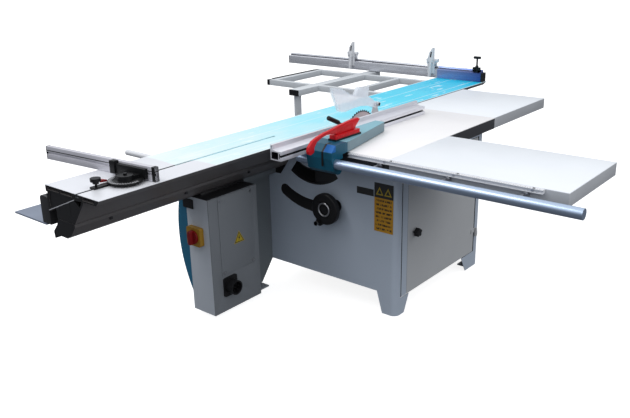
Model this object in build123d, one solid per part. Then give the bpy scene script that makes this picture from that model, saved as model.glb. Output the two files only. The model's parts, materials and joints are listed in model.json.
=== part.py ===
from build123d import *
import math
import os

# Sliding-table panel saw, in millimetres, +Z up.
# Design frame: centre of the cabinet on the floor, +X towards the rip side, +Y the feed direction.
# The parts are written about the centre of the machine's footprint box instead (see SHIFT).

# ---- driving dimensions -------------------------------------------------------------------
TABLE_Z = 870            # height of every table top
CABINET = 842            # cabinet side, square in plan
SHEET = 3                # cabinet sheet
LEG_H = 117              # height under the front panel
RUN = 0.3                # clearance between pieces that move past each other
BORE_RUN = 0.05          # radial clearance of shafts in their bores

# sliding table and its beam
SLIDE_LEFT = -485
SLIDE_RIGHT = -109
SLIDE_NEAR = -1701
SLIDE_LENGTH = 3200
SLIDE_SLAB = 25
BOSS_T = 4               # thickening under the T-slot
SLOT_X = -260            # T-slot in the sliding table
SLOT_W = 14
TEE_W = 26
TEE_H = 8
SLOT_LIP = 7
BEAM_TOP = 730
BEAM_LOW = 635           # lowest point of the beam
BEAM_FLAT = 655
ROLLER_R = 16
CARRIAGE_LENGTH = 1600

# fixed tables
CUT_X = -104             # blade plane
MAIN_LEFT = -98
MAIN_RIGHT = 466
NEAR_REACH = 143         # main table beyond the cabinet's front panel
FAR_REACH = 50           # and beyond its rear panel
TABLE_T = 60
PLATE_T = 10
SKIRT_T = 12
REAR_LENGTH = 675
EXT_RIGHT = 1293
EXT_FAR = -31
THROAT_NEAR = -330
THROAT_FAR = 280

# rip fence
BAR_R = 23
BAR_GAP = 104            # bar axis in front of the main table
BAR_Z = 835
BAR_LEFT = 20
BAR_RIGHT = 1390
STUD_R = 9
STUD_XS = (70, 420, 770, 1120)
RAIL_LEFT = 250
RAIL_RIGHT = 1195
CAST_W = 150
CAST_TOP = 923
FENCE_X = 30
FENCE_H = 71
FENCE_NEAR = -877
FENCE_LENGTH = 1222
FENCE_FOOT = 64
FOOT_H = 45              # height of the profile's foot
CAST_LEFT = FENCE_X + FENCE_FOOT + RUN
STICK_SEAT = CAST_TOP + 27

# crosscut fence and outrigger
CROSS_LEFT = -1890
CROSS_RIGHT = -129
CROSS_Y = 1443
CROSS_D = 54
CROSS_H = 61
CAP_T = 6
CAP_IN = 12              # cap at the blade end of the crosscut fence
SLEEVE = 25              # black sleeves on the outrigger ends
TUBE = 40
TUBE_WALL = 3
TUBE_TOP = TABLE_Z - 4
OUT_LEFT = -1500
T_FRONT_Y = 745
T_REAR_Y = 1295
MID_X = -1091
MID_W = 82
MID_NEAR = 530
SIDE_TUBE_X = -1468
INNER_TUBE_X = -735
STOP_XS = (-1238, -523)

# swing arm
PIVOT_OUT = 49           # arm pivot beside the cabinet
PIVOT_Y = 300
POST = (-1058, 575)
POST_W = 38
ARM_Z = 450
ARM_HALF = 30
ARM_WALL = 4

# saw unit, placed about the tilt axis at the table surface
BLADE_R = 150
BLADE_T = 3.2
ARBOR_Z = 780
ARBOR_R = 15
MOTOR_Z = 550
MOTOR_R = 80
SEG_IN = 185
SEG_OUT = 250
SHAFT_R = 9
WHEEL_R = 83
WHEEL_X = 21
WHEEL_Z = 516
TILT_WHEEL_X = -22
TILT_WHEEL_Z = 782
TILT_WHEEL_R = 50

# electrical box
BOX_LEFT = -437
BOX_RIGHT = -280
BOX_NEAR = -1000
BOX_FAR = -665
BOX_BOTTOM = 27
BOX_TOP = 642
ANCHOR_R = 7
ANCHOR_IN = 41           # anchor holes from the cabinet's faces
COLUMN_ANCHOR_Y = -570
FOOT = 76
FOOT_T = 8

H = CABINET / 2
MAIN_NEAR = -H - NEAR_REACH
MAIN_FAR = H + FAR_REACH
BAR_Y = MAIN_NEAR - BAR_GAP
ARM_PIVOT = (-H - PIVOT_OUT, PIVOT_Y)
ANCHOR = H - ANCHOR_IN
WALL_X = BOX_LEFT + 16   # column wall between the cabinet and the electrical box
LEFT_TOP = BEAM_LOW - RUN - 5
SLIDE_FAR = SLIDE_NEAR + SLIDE_LENGTH
REAR_FAR = MAIN_FAR + REAR_LENGTH
UNDER = TABLE_Z - TABLE_T
SHIFT = (-(CROSS_LEFT - CAP_T + BAR_RIGHT) / 2, -(SLIDE_NEAR + SLIDE_FAR) / 2, 0)


# ---- helpers ------------------------------------------------------------------------------
def box(x0, x1, y0, y1, z0, z1):
    size = (x1 - x0, y1 - y0, z1 - z0)
    return Pos((x0 + x1) / 2, (y0 + y1) / 2, (z0 + z1) / 2) * Box(*size)


def tube_box(x0, x1, y0, y1, z0, z1, wall, along):
    """A square tube, open at both ends along "x" or "y"."""
    inner = [x0 + wall, x1 - wall, y0 + wall, y1 - wall, z0 + wall, z1 - wall]
    if along == "x":
        inner[0], inner[1] = x0 - 1, x1 + 1
    else:
        inner[2], inner[3] = y0 - 1, y1 + 1
    return box(x0, x1, y0, y1, z0, z1) - box(*inner)


def rod(axis, r, start, length):
    """A round bar from the point start, running length along axis "x", "y" or "z"."""
    turn = {"x": Rot(0, 90, 0), "y": Rot(-90, 0, 0), "z": Rot(0, 0, 0)}[axis]
    bar = Cylinder(r, length, align=(Align.CENTER, Align.CENTER, Align.MIN))
    return Pos(*start) * turn * bar


def xz(points, y0, y1):
    """A prism of an (x, z) outline between two y values."""
    face = make_face(Polyline(*[(x, 0, z) for x, z in points], close=True))
    return Pos(0, y0, 0) * extrude(face, y1 - y0, dir=(0, 1, 0))


def yz(points, x0, x1):
    """A prism of a (y, z) outline between two x values."""
    face = make_face(Polyline(*[(0, y, z) for y, z in points], close=True))
    return Pos(x0, 0, 0) * extrude(face, x1 - x0, dir=(1, 0, 0))


def xy(points, z0, z1):
    """A prism of an (x, y) outline between two z values."""
    face = make_face(Polyline(*[(x, y, 0) for x, y in points], close=True))
    return Pos(0, 0, z0) * extrude(face, z1 - z0, dir=(0, 0, 1))


def tilt_point(r, angle):
    """(x, z) at radius r about the tilt axis; angle 0 is straight down, positive to +X."""
    a = math.radians(angle)
    return CUT_X + r * math.sin(a), TABLE_Z - r * math.cos(a)


def tilt_arc(r_in, r_out, a0, a1, y0, y1, round_ends=False):
    """A ring sector about the tilt axis."""
    centre = (CUT_X, y0, TABLE_Z)
    ring = rod("y", r_out, centre, y1 - y0) - rod("y", r_in, centre, y1 - y0)
    wedge = [(CUT_X, TABLE_Z)] + [tilt_point(1.5 * r_out, a0 + (a1 - a0) * i / 4) for i in range(5)]
    solid = ring & xz(wedge, y0, y1)
    if round_ends:
        for a in (a0, a1):
            x, z = tilt_point((r_in + r_out) / 2, a)
            solid += rod("y", (r_out - r_in) / 2, (x, y0, z), y1 - y0)
    return solid


def rel(x0, x1, y0, y1, z0, z1):
    """A box of the saw unit, with x and z measured from the tilt axis."""
    return box(CUT_X + x0, CUT_X + x1, y0, y1, TABLE_Z + z0, TABLE_Z + z1)


def save(name, shape):
    """Write one node, moved from the design frame to the part's own frame."""
    solids = shape if isinstance(shape, list) else [shape]
    flat = []
    for item in solids:
        flat += item.solids()
    whole = Compound(children=[Pos(*SHIFT) * s for s in flat]) if len(flat) > 1 else Pos(*SHIFT) * flat[0]
    export_step(whole, f"parts/{name}.step")


# ---- cabinet ------------------------------------------------------------------------------
PANEL_TOP = UNDER
CORNER_R = 35


def cabinet_front_panel():
    outline = [(-H, LEG_H), (H - 117, LEG_H), (H - 84, 0), (H - CORNER_R, 0), (H - CORNER_R, PANEL_TOP),
               (CUT_X - 6, PANEL_TOP), (-225, 790), (-285, 690), (-330, LEFT_TOP), (-H, LEFT_TOP)]
    panel = xz(outline, -H, -H + SHEET)
    quarter = Pos(H - CORNER_R, -H + CORNER_R, 0) * (
        Cylinder(CORNER_R, PANEL_TOP, align=(Align.CENTER, Align.CENTER, Align.MIN))
        - Cylinder(CORNER_R - SHEET, PANEL_TOP, align=(Align.CENTER, Align.CENTER, Align.MIN)))
    corner = quarter & box(H - CORNER_R, H, -H, -H + CORNER_R, 0, PANEL_TOP)
    side = box(H - SHEET, H, -H + CORNER_R, -H + CORNER_R + 6, 0, PANEL_TOP)
    panel = panel + corner + side
    panel -= tilt_arc(175, 258, -36, 40, -H - 1, -H + SHEET + 1, round_ends=False)
    panel -= tilt_arc(345, 410, -31, 24, -H - 1, -H + SHEET + 1, round_ends=True)
    panel -= rod("y", SHAFT_R + 4, (TILT_WHEEL_X, -H - 1, TILT_WHEEL_Z), SHEET + 2)
    return panel


def cabinet_left_side():
    """The left panel, the column wall in front of it and the seat that carries the beam."""
    panel = box(-H, -H + SHEET, -H + SHEET, H - SHEET, LEG_H, LEFT_TOP)
    wall = yz([(-H, LEG_H), (-H, LEFT_TOP), (BOX_FAR, LEFT_TOP), (BOX_FAR, 0), (-512, 0)], WALL_X, WALL_X + 6)
    seat = box(min(-H, WALL_X), -367, BOX_FAR, H - SHEET, LEFT_TOP, LEFT_TOP + 5)
    seat += box(-413, -367, BOX_FAR, H - SHEET, LEFT_TOP + 5, BEAM_FLAT - 0.2)
    return [panel, wall, seat]


DUST = (150, 300)
DUST_R = 60


def cabinet_rear_panel():
    outline = [(-H, 0), (84 - H, 0), (117 - H, LEG_H), (H - 117, LEG_H), (H - 84, 0), (H, 0), (H, PANEL_TOP),
               (CUT_X - 6, PANEL_TOP), (-225, 790), (-285, 690), (-330, LEFT_TOP), (-H, LEFT_TOP)]
    panel = xz(outline, H - SHEET, H)
    panel += rod("y", DUST_R, (DUST[0], H, DUST[1]), 70)
    panel -= rod("y", DUST_R - 2, (DUST[0], H - 10, DUST[1]), 100)
    return panel


DOOR_NEAR = -H + 44
DOOR_FAR = H - 37
DOOR_BOTTOM = 97
DOOR_TOP = 775


def cabinet_right_frame():
    near = -H + CORNER_R + 6
    leg = [(near, 0), (-H + 75, 0), (-H + 119, DOOR_BOTTOM - 4), (near, DOOR_BOTTOM - 4)]
    front_leg = yz(leg, H - SHEET, H)
    rear_post = yz([(H - SHEET, 0), (H - 121, 0), (H - 174, DOOR_BOTTOM - 4), (DOOR_FAR + 3, DOOR_BOTTOM - 4),
                    (DOOR_FAR + 3, DOOR_TOP + 3), (H - SHEET, DOOR_TOP + 3)], H - SHEET, H)
    top = box(H - SHEET, H, -H + CORNER_R + 6, H - SHEET, DOOR_TOP + 3, PANEL_TOP)
    return [front_leg, rear_post + top]


def anchor_feet():
    """Foot plates with anchor holes; the outer corner of each is cut back behind the bent panel."""
    feet = []
    out, back, cut = H - SHEET, H - FOOT, H - CORNER_R
    for sx, sy in ((1, -1), (1, 1), (-1, 1)):
        outline = [(sx * back, sy * back), (sx * out, sy * back), (sx * out, sy * cut), (sx * cut, sy * out),
                   (sx * back, sy * out)]
        hole = rod("z", ANCHOR_R, (sx * ANCHOR, sy * ANCHOR, -1), FOOT_T + 2)
        feet.append(xy(outline, 0, FOOT_T) - hole)
    hole = rod("z", ANCHOR_R, (WALL_X + ANCHOR_IN, COLUMN_ANCHOR_Y, -1), FOOT_T + 2)
    foot = box(WALL_X + 6, WALL_X + FOOT, COLUMN_ANCHOR_Y - 35, COLUMN_ANCHOR_Y + 35, 0, FOOT_T)
    feet.append(foot - hole)
    return feet


def hinge_pins():
    pins = []
    for z in (190, 680):
        knuckle = rod("z", 8, (H + 9, DOOR_FAR + 4, z), 25)
        leaf = box(H, H + 9, DOOR_FAR + 4, H - 11, z, z + 25)
        pins.append(knuckle + rod("z", 4, (H + 9, DOOR_FAR + 4, z), 50) + leaf)
    return pins


def cabinet_door():
    door = box(H - SHEET, H, DOOR_NEAR, DOOR_FAR - 8, DOOR_BOTTOM, DOOR_TOP)
    for z in (190, 680):
        leaf = rod("z", 8, (H + 9, DOOR_FAR + 4, z + 25 + RUN), 24)
        leaf += box(H, H + 4, DOOR_FAR - 40, DOOR_FAR + 4, z + 25 + RUN, z + 49)
        leaf -= rod("z", 4 + BORE_RUN, (H + 9, DOOR_FAR + 4, z), 60)
        door += leaf
    door -= rod("x", 6 + BORE_RUN, (H - 20, DOOR_KNOB[0], DOOR_KNOB[1]), 40)
    return door


DOOR_KNOB = (DOOR_NEAR + 117, 418)


def door_knob():
    stem = rod("x", 6, (H - 22, *DOOR_KNOB), 40)
    catch = box(H - 22, H - 12, DOOR_KNOB[0] - 8, DOOR_KNOB[0] + 8, DOOR_KNOB[1] - 30, DOOR_KNOB[1] + 8)
    head = rod("x", 17, (H + 8, *DOOR_KNOB), 22)
    for i in range(5):
        a = math.radians(90 + 72 * i)
        lobe = (H + 8, DOOR_KNOB[0] + 15 * math.cos(a), DOOR_KNOB[1] + 15 * math.sin(a))
        head += rod("x", 8, lobe, 22)
    return stem + catch + head


# ---- fixed tables -------------------------------------------------------------------------
def ribbed_table(x0, x1, y0, y1, ribs_x, ribs_y):
    """A cast table: a plate with a skirt and ribs under it."""
    top = box(x0, x1, y0, y1, TABLE_Z - TABLE_T, TABLE_Z)
    top -= box(x0 + SKIRT_T, x1 - SKIRT_T, y0 + SKIRT_T, y1 - SKIRT_T, TABLE_Z - TABLE_T - 1, TABLE_Z - PLATE_T)
    for x in ribs_x:
        top += box(x - 4, x + 4, y0 + 5, y1 - 5, TABLE_Z - 45, TABLE_Z - 5)
    for y in ribs_y:
        top += box(x0 + 5, x1 - 5, y - 4, y + 4, TABLE_Z - 45, TABLE_Z - 5)
    return top


def main_table():
    table = ribbed_table(MAIN_LEFT, MAIN_RIGHT, MAIN_NEAR, MAIN_FAR, (300,), (-350, 300))
    table -= box(MAIN_LEFT - 1, MAIN_LEFT + 40, THROAT_NEAR, THROAT_FAR, UNDER - 1, TABLE_Z - 8)
    return table


def rear_extension_table():
    return ribbed_table(MAIN_LEFT, MAIN_RIGHT - 2, MAIN_FAR + RUN, REAR_FAR, (180,), (800,))


def right_extension_table():
    return ribbed_table(MAIN_RIGHT + RUN, EXT_RIGHT, MAIN_NEAR - 2, EXT_FAR, (880,), (-300,))


def guide_bar():
    bar = rod("x", BAR_R, (BAR_LEFT, BAR_Y, BAR_Z), BAR_RIGHT - BAR_LEFT)
    return bar - [rod("y", STUD_R + 0.1, (x, BAR_Y, BAR_Z), BAR_R + 5) for x in STUD_XS]


def guide_bar_studs():
    studs = []
    for x in STUD_XS:
        end = MAIN_NEAR if x < MAIN_RIGHT else MAIN_NEAR - 2
        stud = rod("y", STUD_R, (x, BAR_Y + 1, BAR_Z), end - BAR_Y - 1)
        studs.append(stud + rod("y", 15, (x, end - 14, BAR_Z), 14))
    return studs


def scale_rail():
    z0, z1 = 851, 868
    near = MAIN_NEAR - 2
    rail = box(RAIL_LEFT, RAIL_RIGHT, near - 22, near, z0, z1)
    rail -= box(RAIL_LEFT - 1, RAIL_RIGHT + 1, near - 23, near - 14, z0 + 2.5, z0 + 14.5)
    for x in STUD_XS:
        rail -= rod("y", 3.2, (x + 30, near - 30, z0 + 8.5), 40)
    filler = box(RAIL_LEFT, MAIN_RIGHT, near, MAIN_NEAR, z0, z1)
    return rail + (filler - [rod("y", 3.2, (x + 30, near - 30, z0 + 8.5), 40) for x in STUD_XS])


def frame_screws():
    screws = []
    near = MAIN_NEAR - 2
    for x in STUD_XS[1:]:
        head = rod("y", 5.5, (x + 30, near - 18, 859.5), 4)
        screws.append(head + rod("y", 3, (x + 30, near - 14, 859.5), 14))
    for y in (COVER_NEAR + 14, COVER_FAR - 14):
        for z in (COVER_BOTTOM + 14, COVER_TOP - 14):
            screws.append(rod("x", 6, (BOX_RIGHT + SHEET, y, z), 4))
    return screws


# ---- electrical box -----------------------------------------------------------------------
COVER_NEAR = -938
COVER_FAR = -702
COVER_BOTTOM = 228
COVER_TOP = 637
SWITCH = (-373, 446)
INLET = (-889, 160)


def electrical_box():
    shell = box(BOX_LEFT, BOX_RIGHT, BOX_NEAR, BOX_FAR, BOX_BOTTOM, BOX_TOP)
    shell -= box(BOX_LEFT + 2, BOX_RIGHT - 2, BOX_NEAR + 2, BOX_FAR - 2, BOX_BOTTOM + 2, BOX_TOP - 2)
    shell -= box(BOX_RIGHT - 5, BOX_RIGHT + 1, COVER_NEAR + 30, COVER_FAR - 30, COVER_BOTTOM + 30,
                 COVER_TOP - 30)
    shell -= rod("y", 7, (SWITCH[0], BOX_NEAR - 1, SWITCH[1]), 4)
    shell -= rod("x", 25, (BOX_RIGHT - 5, *INLET), 10)
    hanger = box(-412, -370, BOX_NEAR + 40, BOX_FAR, BOX_TOP, BEAM_FLAT - 0.2)
    return shell + hanger


def electrical_cover():
    return box(BOX_RIGHT, BOX_RIGHT + SHEET, COVER_NEAR, COVER_FAR, COVER_BOTTOM, COVER_TOP)


def switch_base():
    base = box(SWITCH[0] - 48, SWITCH[0] + 48, BOX_NEAR - 26, BOX_NEAR, SWITCH[1] - 48, SWITCH[1] + 48)
    base = fillet(base.edges().filter_by(Axis.Y), 10)
    return base - rod("y", 6 + BORE_RUN, (SWITCH[0], BOX_NEAR - 30, SWITCH[1]), 31)


def switch_knob():
    disc = rod("y", 36, (SWITCH[0], BOX_NEAR - 36, SWITCH[1]), 10 - RUN)
    grip = box(SWITCH[0] - 9, SWITCH[0] + 9, BOX_NEAR - 56, BOX_NEAR - 36, SWITCH[1] - 34, SWITCH[1] + 34)
    return disc + grip + rod("y", 6, (SWITCH[0], BOX_NEAR - 30, SWITCH[1]), 29)


def plug_inlet():
    flange = box(BOX_RIGHT, BOX_RIGHT + 8, INLET[0] - 46, INLET[0] + 46, INLET[1] - 52, INLET[1] + 52)
    flange = fillet(flange.edges().filter_by(Axis.X), 12)
    barrel = rod("x", 38, (BOX_RIGHT + 8, INLET[0], INLET[1]), 44)
    socket = rod("x", 31, (BOX_RIGHT + 20, INLET[0], INLET[1]), 40)
    pins = []
    for i in range(5):
        a = math.radians(72 * i + 90)
        pins.append(rod("x", 3, (BOX_RIGHT + 18, INLET[0] + 18 * math.cos(a), INLET[1] + 18 * math.sin(a)), 28))
    body = flange + barrel - socket
    for pin in pins:
        body += pin
    return body


COVER_R = 707            # radius of the cover's bowed side
COVER_BULGE = 73
COVER_ZC = 443
COVER_DEPTH = 240


def bow(r, cx, z0, z1):
    """Points up the left side of a circle about (cx, COVER_ZC) between two heights, closed at the box."""
    steps = 20
    zs = [z0 + (z1 - z0) * i / steps for i in range(steps + 1)]
    return [(cx - math.sqrt(r * r - (z - COVER_ZC) ** 2), z) for z in zs]


def side_cover():
    cx = BOX_LEFT - COVER_BULGE + COVER_R
    outer = bow(COVER_R, cx, 130, 630) + [(BOX_LEFT, 630), (BOX_LEFT, 130)]
    inner = bow(COVER_R - 3, cx, 133, 627) + [(BOX_LEFT + 1, 627), (BOX_LEFT + 1, 133)]
    return xz(outer, BOX_NEAR, BOX_NEAR + COVER_DEPTH) - xz(inner, BOX_NEAR + 3, BOX_NEAR + COVER_DEPTH - 3)


# ---- beam, carriage, sliding table --------------------------------------------------------
def base_beam():
    outer = [(-422, BEAM_TOP), (-432, 706), (-468, 666), (-464, BEAM_LOW), (-414, BEAM_FLAT), (-367, BEAM_FLAT),
             (-337, 674), (-304, 716), (-304, BEAM_TOP)]
    inner = [(-415, 721), (-425, 702), (-459, 665), (-457, 647), (-415, 663), (-369, 663), (-343, 680),
             (-312, 719), (-312, 721)]
    beam = xz(outer, SLIDE_NEAR, SLIDE_FAR)
    return beam - xz(inner, SLIDE_NEAR - 1, SLIDE_FAR + 1)


WHEEL_XS = (-410, -330)
WHEEL_ZC = BEAM_TOP + RUN + ROLLER_R
RAIL_Z = WHEEL_ZC + ROLLER_R + RUN
WHEEL_YS = [-CARRIAGE_LENGTH / 2 + 100 + 280 * i - 101 for i in range(6)]


def roller_carriage():
    y0, y1 = -CARRIAGE_LENGTH / 2 - 101, CARRIAGE_LENGTH / 2 - 101
    bar = box(-396, -344, y0, y1, BEAM_TOP + 6, BEAM_TOP + 36)
    return [bar - [rod("x", 5 + BORE_RUN, (-400, y, WHEEL_ZC), 60) for y in WHEEL_YS]] + carriage_rollers()


def carriage_rollers():
    rollers = []
    for y in WHEEL_YS:
        roller = rod("x", 5, (-418, y, WHEEL_ZC), 96)
        for x in WHEEL_XS:
            roller += rod("x", ROLLER_R, (x - 8, y, WHEEL_ZC), 16)
        rollers.append(roller)
    return rollers


WEB_LOW = (SLIDE_LEFT + 4, 756)
WEB_HIGH = (-274, 843)


def web_z(x):
    """Height of the diagonal web's lower face at x."""
    return WEB_LOW[1] + (x - WEB_LOW[0]) * (WEB_HIGH[1] - WEB_LOW[1]) / (WEB_HIGH[0] - WEB_LOW[0])


def sliding_table():
    under = TABLE_Z - SLIDE_SLAB
    y0, y1 = SLIDE_NEAR, SLIDE_FAR
    slab = xz([(SLIDE_LEFT, TABLE_Z), (SLIDE_RIGHT, TABLE_Z), (SLIDE_RIGHT, TABLE_Z - 1),
               (SLIDE_RIGHT - SLIDE_SLAB + 1, under), (SLIDE_LEFT, under)], y0, y1)
    left = box(SLIDE_LEFT + 4, SLIDE_LEFT + 16, y0, y1, WEB_LOW[1], under + 1)
    left += box(SLIDE_LEFT, SLIDE_LEFT + 20, y0, y1, 820, under + 1)
    left -= box(SLIDE_LEFT - 1, SLIDE_LEFT + 10, y0 - 1, y1 + 1, 831, 841)
    web = xz([WEB_LOW, WEB_HIGH, (WEB_HIGH[0], under + 1), (WEB_HIGH[0] - 14, under + 1),
              (WEB_LOW[0], WEB_LOW[1] + 9)], y0, y1)
    boss = box(SLOT_X - TEE_W / 2 - 8, SLOT_X + TEE_W / 2 + 8, y0, y1, under - BOSS_T, under + 1)
    skirt = xz([(-221, under + 1), (-221, 836), (-298, 734), (-304, 737), (-304, 742), (-231, 838),
                (-231, under + 1)], y0, y1)
    whole = slab + left + web + boss + skirt
    for x in WHEEL_XS:
        whole += xz([(x - 10, RAIL_Z), (x + 10, RAIL_Z), (x + 10, web_z(x + 10) + 3),
                     (x - 10, web_z(x - 10) + 3)], y0, y1)
    for x0, x1 in ((-477, -388), (-380, -294), (-226, -145)):
        whole -= box(x0, x1, y0 - 1, y1 + 1, under + 5, TABLE_Z - 6)
    whole -= box(SLOT_X - SLOT_W / 2, SLOT_X + SLOT_W / 2, y0 - 1, y1 + 1, TABLE_Z - SLOT_LIP - 1, TABLE_Z + 1)
    whole -= box(SLOT_X - TEE_W / 2, SLOT_X + TEE_W / 2, y0 - 1, y1 + 1, TABLE_Z - SLOT_LIP - TEE_H,
                 TABLE_Z - SLOT_LIP)
    return whole


def side_shelf():
    bracket = box(-544, SLIDE_LEFT + 4, SLIDE_NEAR, SLIDE_NEAR + 40, 690, 815)
    bracket = fillet(bracket.edges().filter_by(Axis.Y).sort_by(Axis.Z)[-2:], 18)
    bracket -= box(SLIDE_LEFT - 0.5, SLIDE_LEFT + 10, SLIDE_NEAR - 1, SLIDE_NEAR + 41, 816, 850)
    plate = box(-776, -520, SLIDE_NEAR, SLIDE_NEAR + 150, 681, 689.7)
    return [bracket, plate]


HANDLE_R = 14
HANDLE_LEFT = -690
HANDLE_Y = -1130


def table_handle():
    return rod("x", HANDLE_R, (HANDLE_LEFT, HANDLE_Y, TABLE_Z - HANDLE_R - 6), SLIDE_LEFT - HANDLE_LEFT)


def outrigger_frame():
    z0, z1 = TUBE_TOP - TUBE, TUBE_TOP
    left, right = OUT_LEFT + SLEEVE, SLIDE_LEFT - 0.2
    tubes = []
    for y in (T_FRONT_Y, T_REAR_Y):
        tubes.append(tube_box(left, MID_X, y, y + TUBE, z0, z1, TUBE_WALL, "x"))
        tubes.append(tube_box(MID_X + MID_W, right, y, y + TUBE, z0, z1, TUBE_WALL, "x"))
    tubes.append(tube_box(MID_X, MID_X + MID_W, MID_NEAR, CROSS_Y + CROSS_D, z0, z1, TUBE_WALL, "y"))
    for x in (SIDE_TUBE_X, INNER_TUBE_X):
        tubes.append(tube_box(x, x + TUBE, T_FRONT_Y + TUBE, T_REAR_Y, z0, z1, TUBE_WALL, "y"))
    return tubes + roller_brackets()


def outrigger_caps():
    z0, z1 = TUBE_TOP - TUBE, TUBE_TOP
    caps = [box(OUT_LEFT, OUT_LEFT + SLEEVE, y, y + TUBE, z0, z1) for y in (T_FRONT_Y, T_REAR_Y)]
    caps.append(box(MID_X, MID_X + MID_W, MID_NEAR - 6, MID_NEAR, z0, z1))
    caps.append(box(MID_X, MID_X + MID_W, CROSS_Y + CROSS_D, CROSS_Y + CROSS_D + 2, z0, z1))
    return caps


ROLL_X = -1489
ROLL_R = 16
ROLL_Z = TABLE_Z - ROLL_R


def roller_brackets():
    """Ears on the cross tubes that carry the end roller's axle."""
    ears = []
    for y0 in (T_FRONT_Y + TUBE, T_REAR_Y - EAR_T):
        ear = box(ROLL_X - 10, ROLL_X + 10, y0, y0 + EAR_T, TUBE_TOP - TUBE, ROLL_Z + 8)
        ears.append(ear - rod("y", AXLE_R + BORE_RUN, (ROLL_X, y0 - 1, ROLL_Z), EAR_T + 2))
    return ears


EAR_T = 12
AXLE_R = 5


def outrigger_roller():
    y0, y1 = T_FRONT_Y + TUBE + EAR_T + RUN, T_REAR_Y - EAR_T - RUN
    axle = rod("y", AXLE_R, (ROLL_X, y0 - EAR_T, ROLL_Z), y1 - y0 + 2 * EAR_T)
    return rod("y", ROLL_R, (ROLL_X, y0, ROLL_Z), y1 - y0) + axle


# ---- crosscut fence -----------------------------------------------------------------------
def crosscut_fence():
    y, z = CROSS_Y, TABLE_Z + 1
    section = [(y, z), (y, z + CROSS_H - 2), (y + 18, z + CROSS_H + 4), (y + 24, z + 80), (y + 34, z + 80),
               (y + 38, z + CROSS_H + 4), (y + CROSS_D, z + CROSS_H - 4), (y + CROSS_D, z)]
    hollow = [(y + 4, z + 4), (y + 4, z + CROSS_H - 6), (y + CROSS_D - 4, z + CROSS_H - 8),
              (y + CROSS_D - 4, z + 4)]
    fence = yz(section, CROSS_LEFT, CROSS_RIGHT) - yz(hollow, CROSS_LEFT - 1, CROSS_RIGHT + 1)
    for x in (FENCE_PIN_X, MID_X + MID_W / 2):
        fence -= rod("z", 6 + BORE_RUN, (x, FENCE_PIN_Y, TABLE_Z - 10), 100)
    return fence


FENCE_PIN_X = -166
FENCE_PIN_Y = CROSS_Y + 12


def crosscut_end_caps():
    y, z = CROSS_Y, TABLE_Z + 1
    caps = [box(CROSS_LEFT - CAP_T, CROSS_LEFT, y, y + CROSS_D, z, z + CROSS_H),
            box(CROSS_RIGHT, CROSS_RIGHT + CAP_IN, y, y + CROSS_D, z, z + CROSS_H)]
    return caps


def fence_clamp_knob():
    """A T-handle on the swivel pin, with a thick collar on the fence."""
    x, y = FENCE_PIN_X, FENCE_PIN_Y
    z = TABLE_Z + 1 + CROSS_H + 6
    bar_z = z + 88
    stem = rod("z", 6, (x, y, TABLE_Z + 0.6), bar_z + 5 - TABLE_Z)
    bar = box(x - 27, x + 27, y - 9, y + 9, bar_z, bar_z + 18)
    collar = rod("z", 11, (x, y, z + 12), 30)
    return stem + fillet(bar.edges(), 6) + collar


def flip_stop_carrier(x):
    y, z = CROSS_Y + 29, TABLE_Z + 1 + 80 + RUN
    saddle = box(x - 28, x + 28, y - 8, y + 8, z, z + 24)
    cheek = box(x - 28, x + 28, CROSS_Y - 8, CROSS_Y - RUN, TABLE_Z + 30, z + 24)
    bridge = box(x - 28, x + 28, CROSS_Y - 8, y + 8, z + 16, z + 24)
    pin = rod("x", 5, (x - 40, CROSS_Y - 4, z + 44), 80)
    ears = [box(x + s * 28 - 5, x + s * 28 + 5, CROSS_Y - 14, CROSS_Y + 8, z + 16, z + 54) for s in (-1, 1)]
    whole = saddle + cheek + bridge + pin
    for ear in ears:
        whole += ear
    knob = rod("x", 14, (x + 40, CROSS_Y - 4, z + 44), 18)
    return whole + knob


def flip_stop_arm(x):
    """A fin above the pivot and a finger that hangs in front of the fence."""
    z = TABLE_Z + 1 + 80 + RUN + 44
    fin_top = TABLE_Z + 212
    fin = xz([(x - 22, z - 13), (x + 20, z - 13), (x + 20, fin_top), (x + 12, fin_top), (x - 14, z + 50),
              (x - 22, z + 18)], CROSS_Y - 16, CROSS_Y + 8)
    finger = yz([(CROSS_Y - 34, TABLE_Z + 10), (CROSS_Y - 10, TABLE_Z + 10), (CROSS_Y - 10, z),
                 (CROSS_Y - 16, z)], x - 9, x + 9)
    return fin + finger - rod("x", 5 + BORE_RUN, (x - 40, CROSS_Y - 4, z), 80)


# ---- mitre gauge --------------------------------------------------------------------------
MITRE = (SLOT_X + 40, -1490)
MITRE_CLAMP_Y = -1606


def mitre_base():
    """The key in the slot with its round seat, its tongue and the clamp knob."""
    key = box(SLOT_X - SLOT_W / 2 + RUN, SLOT_X + SLOT_W / 2 - RUN, MITRE_CLAMP_Y - 20, MITRE[1] + 40,
              TABLE_Z - SLOT_LIP + RUN, TABLE_Z + RUN)
    seat = rod("z", DISC_R - 16, (*MITRE, TABLE_Z + RUN), 10 - RUN)
    tongue = box(SLOT_X - 16, SLOT_X + 16, MITRE_CLAMP_Y - 20, MITRE[1], TABLE_Z + RUN, TABLE_Z + 8)
    pivot = rod("z", 8, (*MITRE, TABLE_Z + 10), 34)
    return [key + seat + tongue + pivot, mitre_knob()]


def mitre_head():
    """The protractor disc with its hub, the upright that holds the bar, and a taller post at its end."""
    z = TABLE_Z + 10 + RUN
    turn = Pos(*MITRE, 0) * Rot(0, 0, MITRE_TURN)
    head = rod("z", DISC_R, (*MITRE, z), 6) + rod("z", 34, (*MITRE, z), 26)
    head += turn * box(-140, 60, 52, 70, z, z + 44)
    head += turn * box(-146, -116, 44, 70, z, z + 56)
    head += turn * box(-60, 30, 0, 54, z, z + 20)
    head -= turn * box(-2 * DISC_R, 2 * DISC_R, 70, 2 * DISC_R, z - 1, z + 60)
    return head - rod("z", 8 + BORE_RUN, (*MITRE, z - 5), 60)


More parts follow.
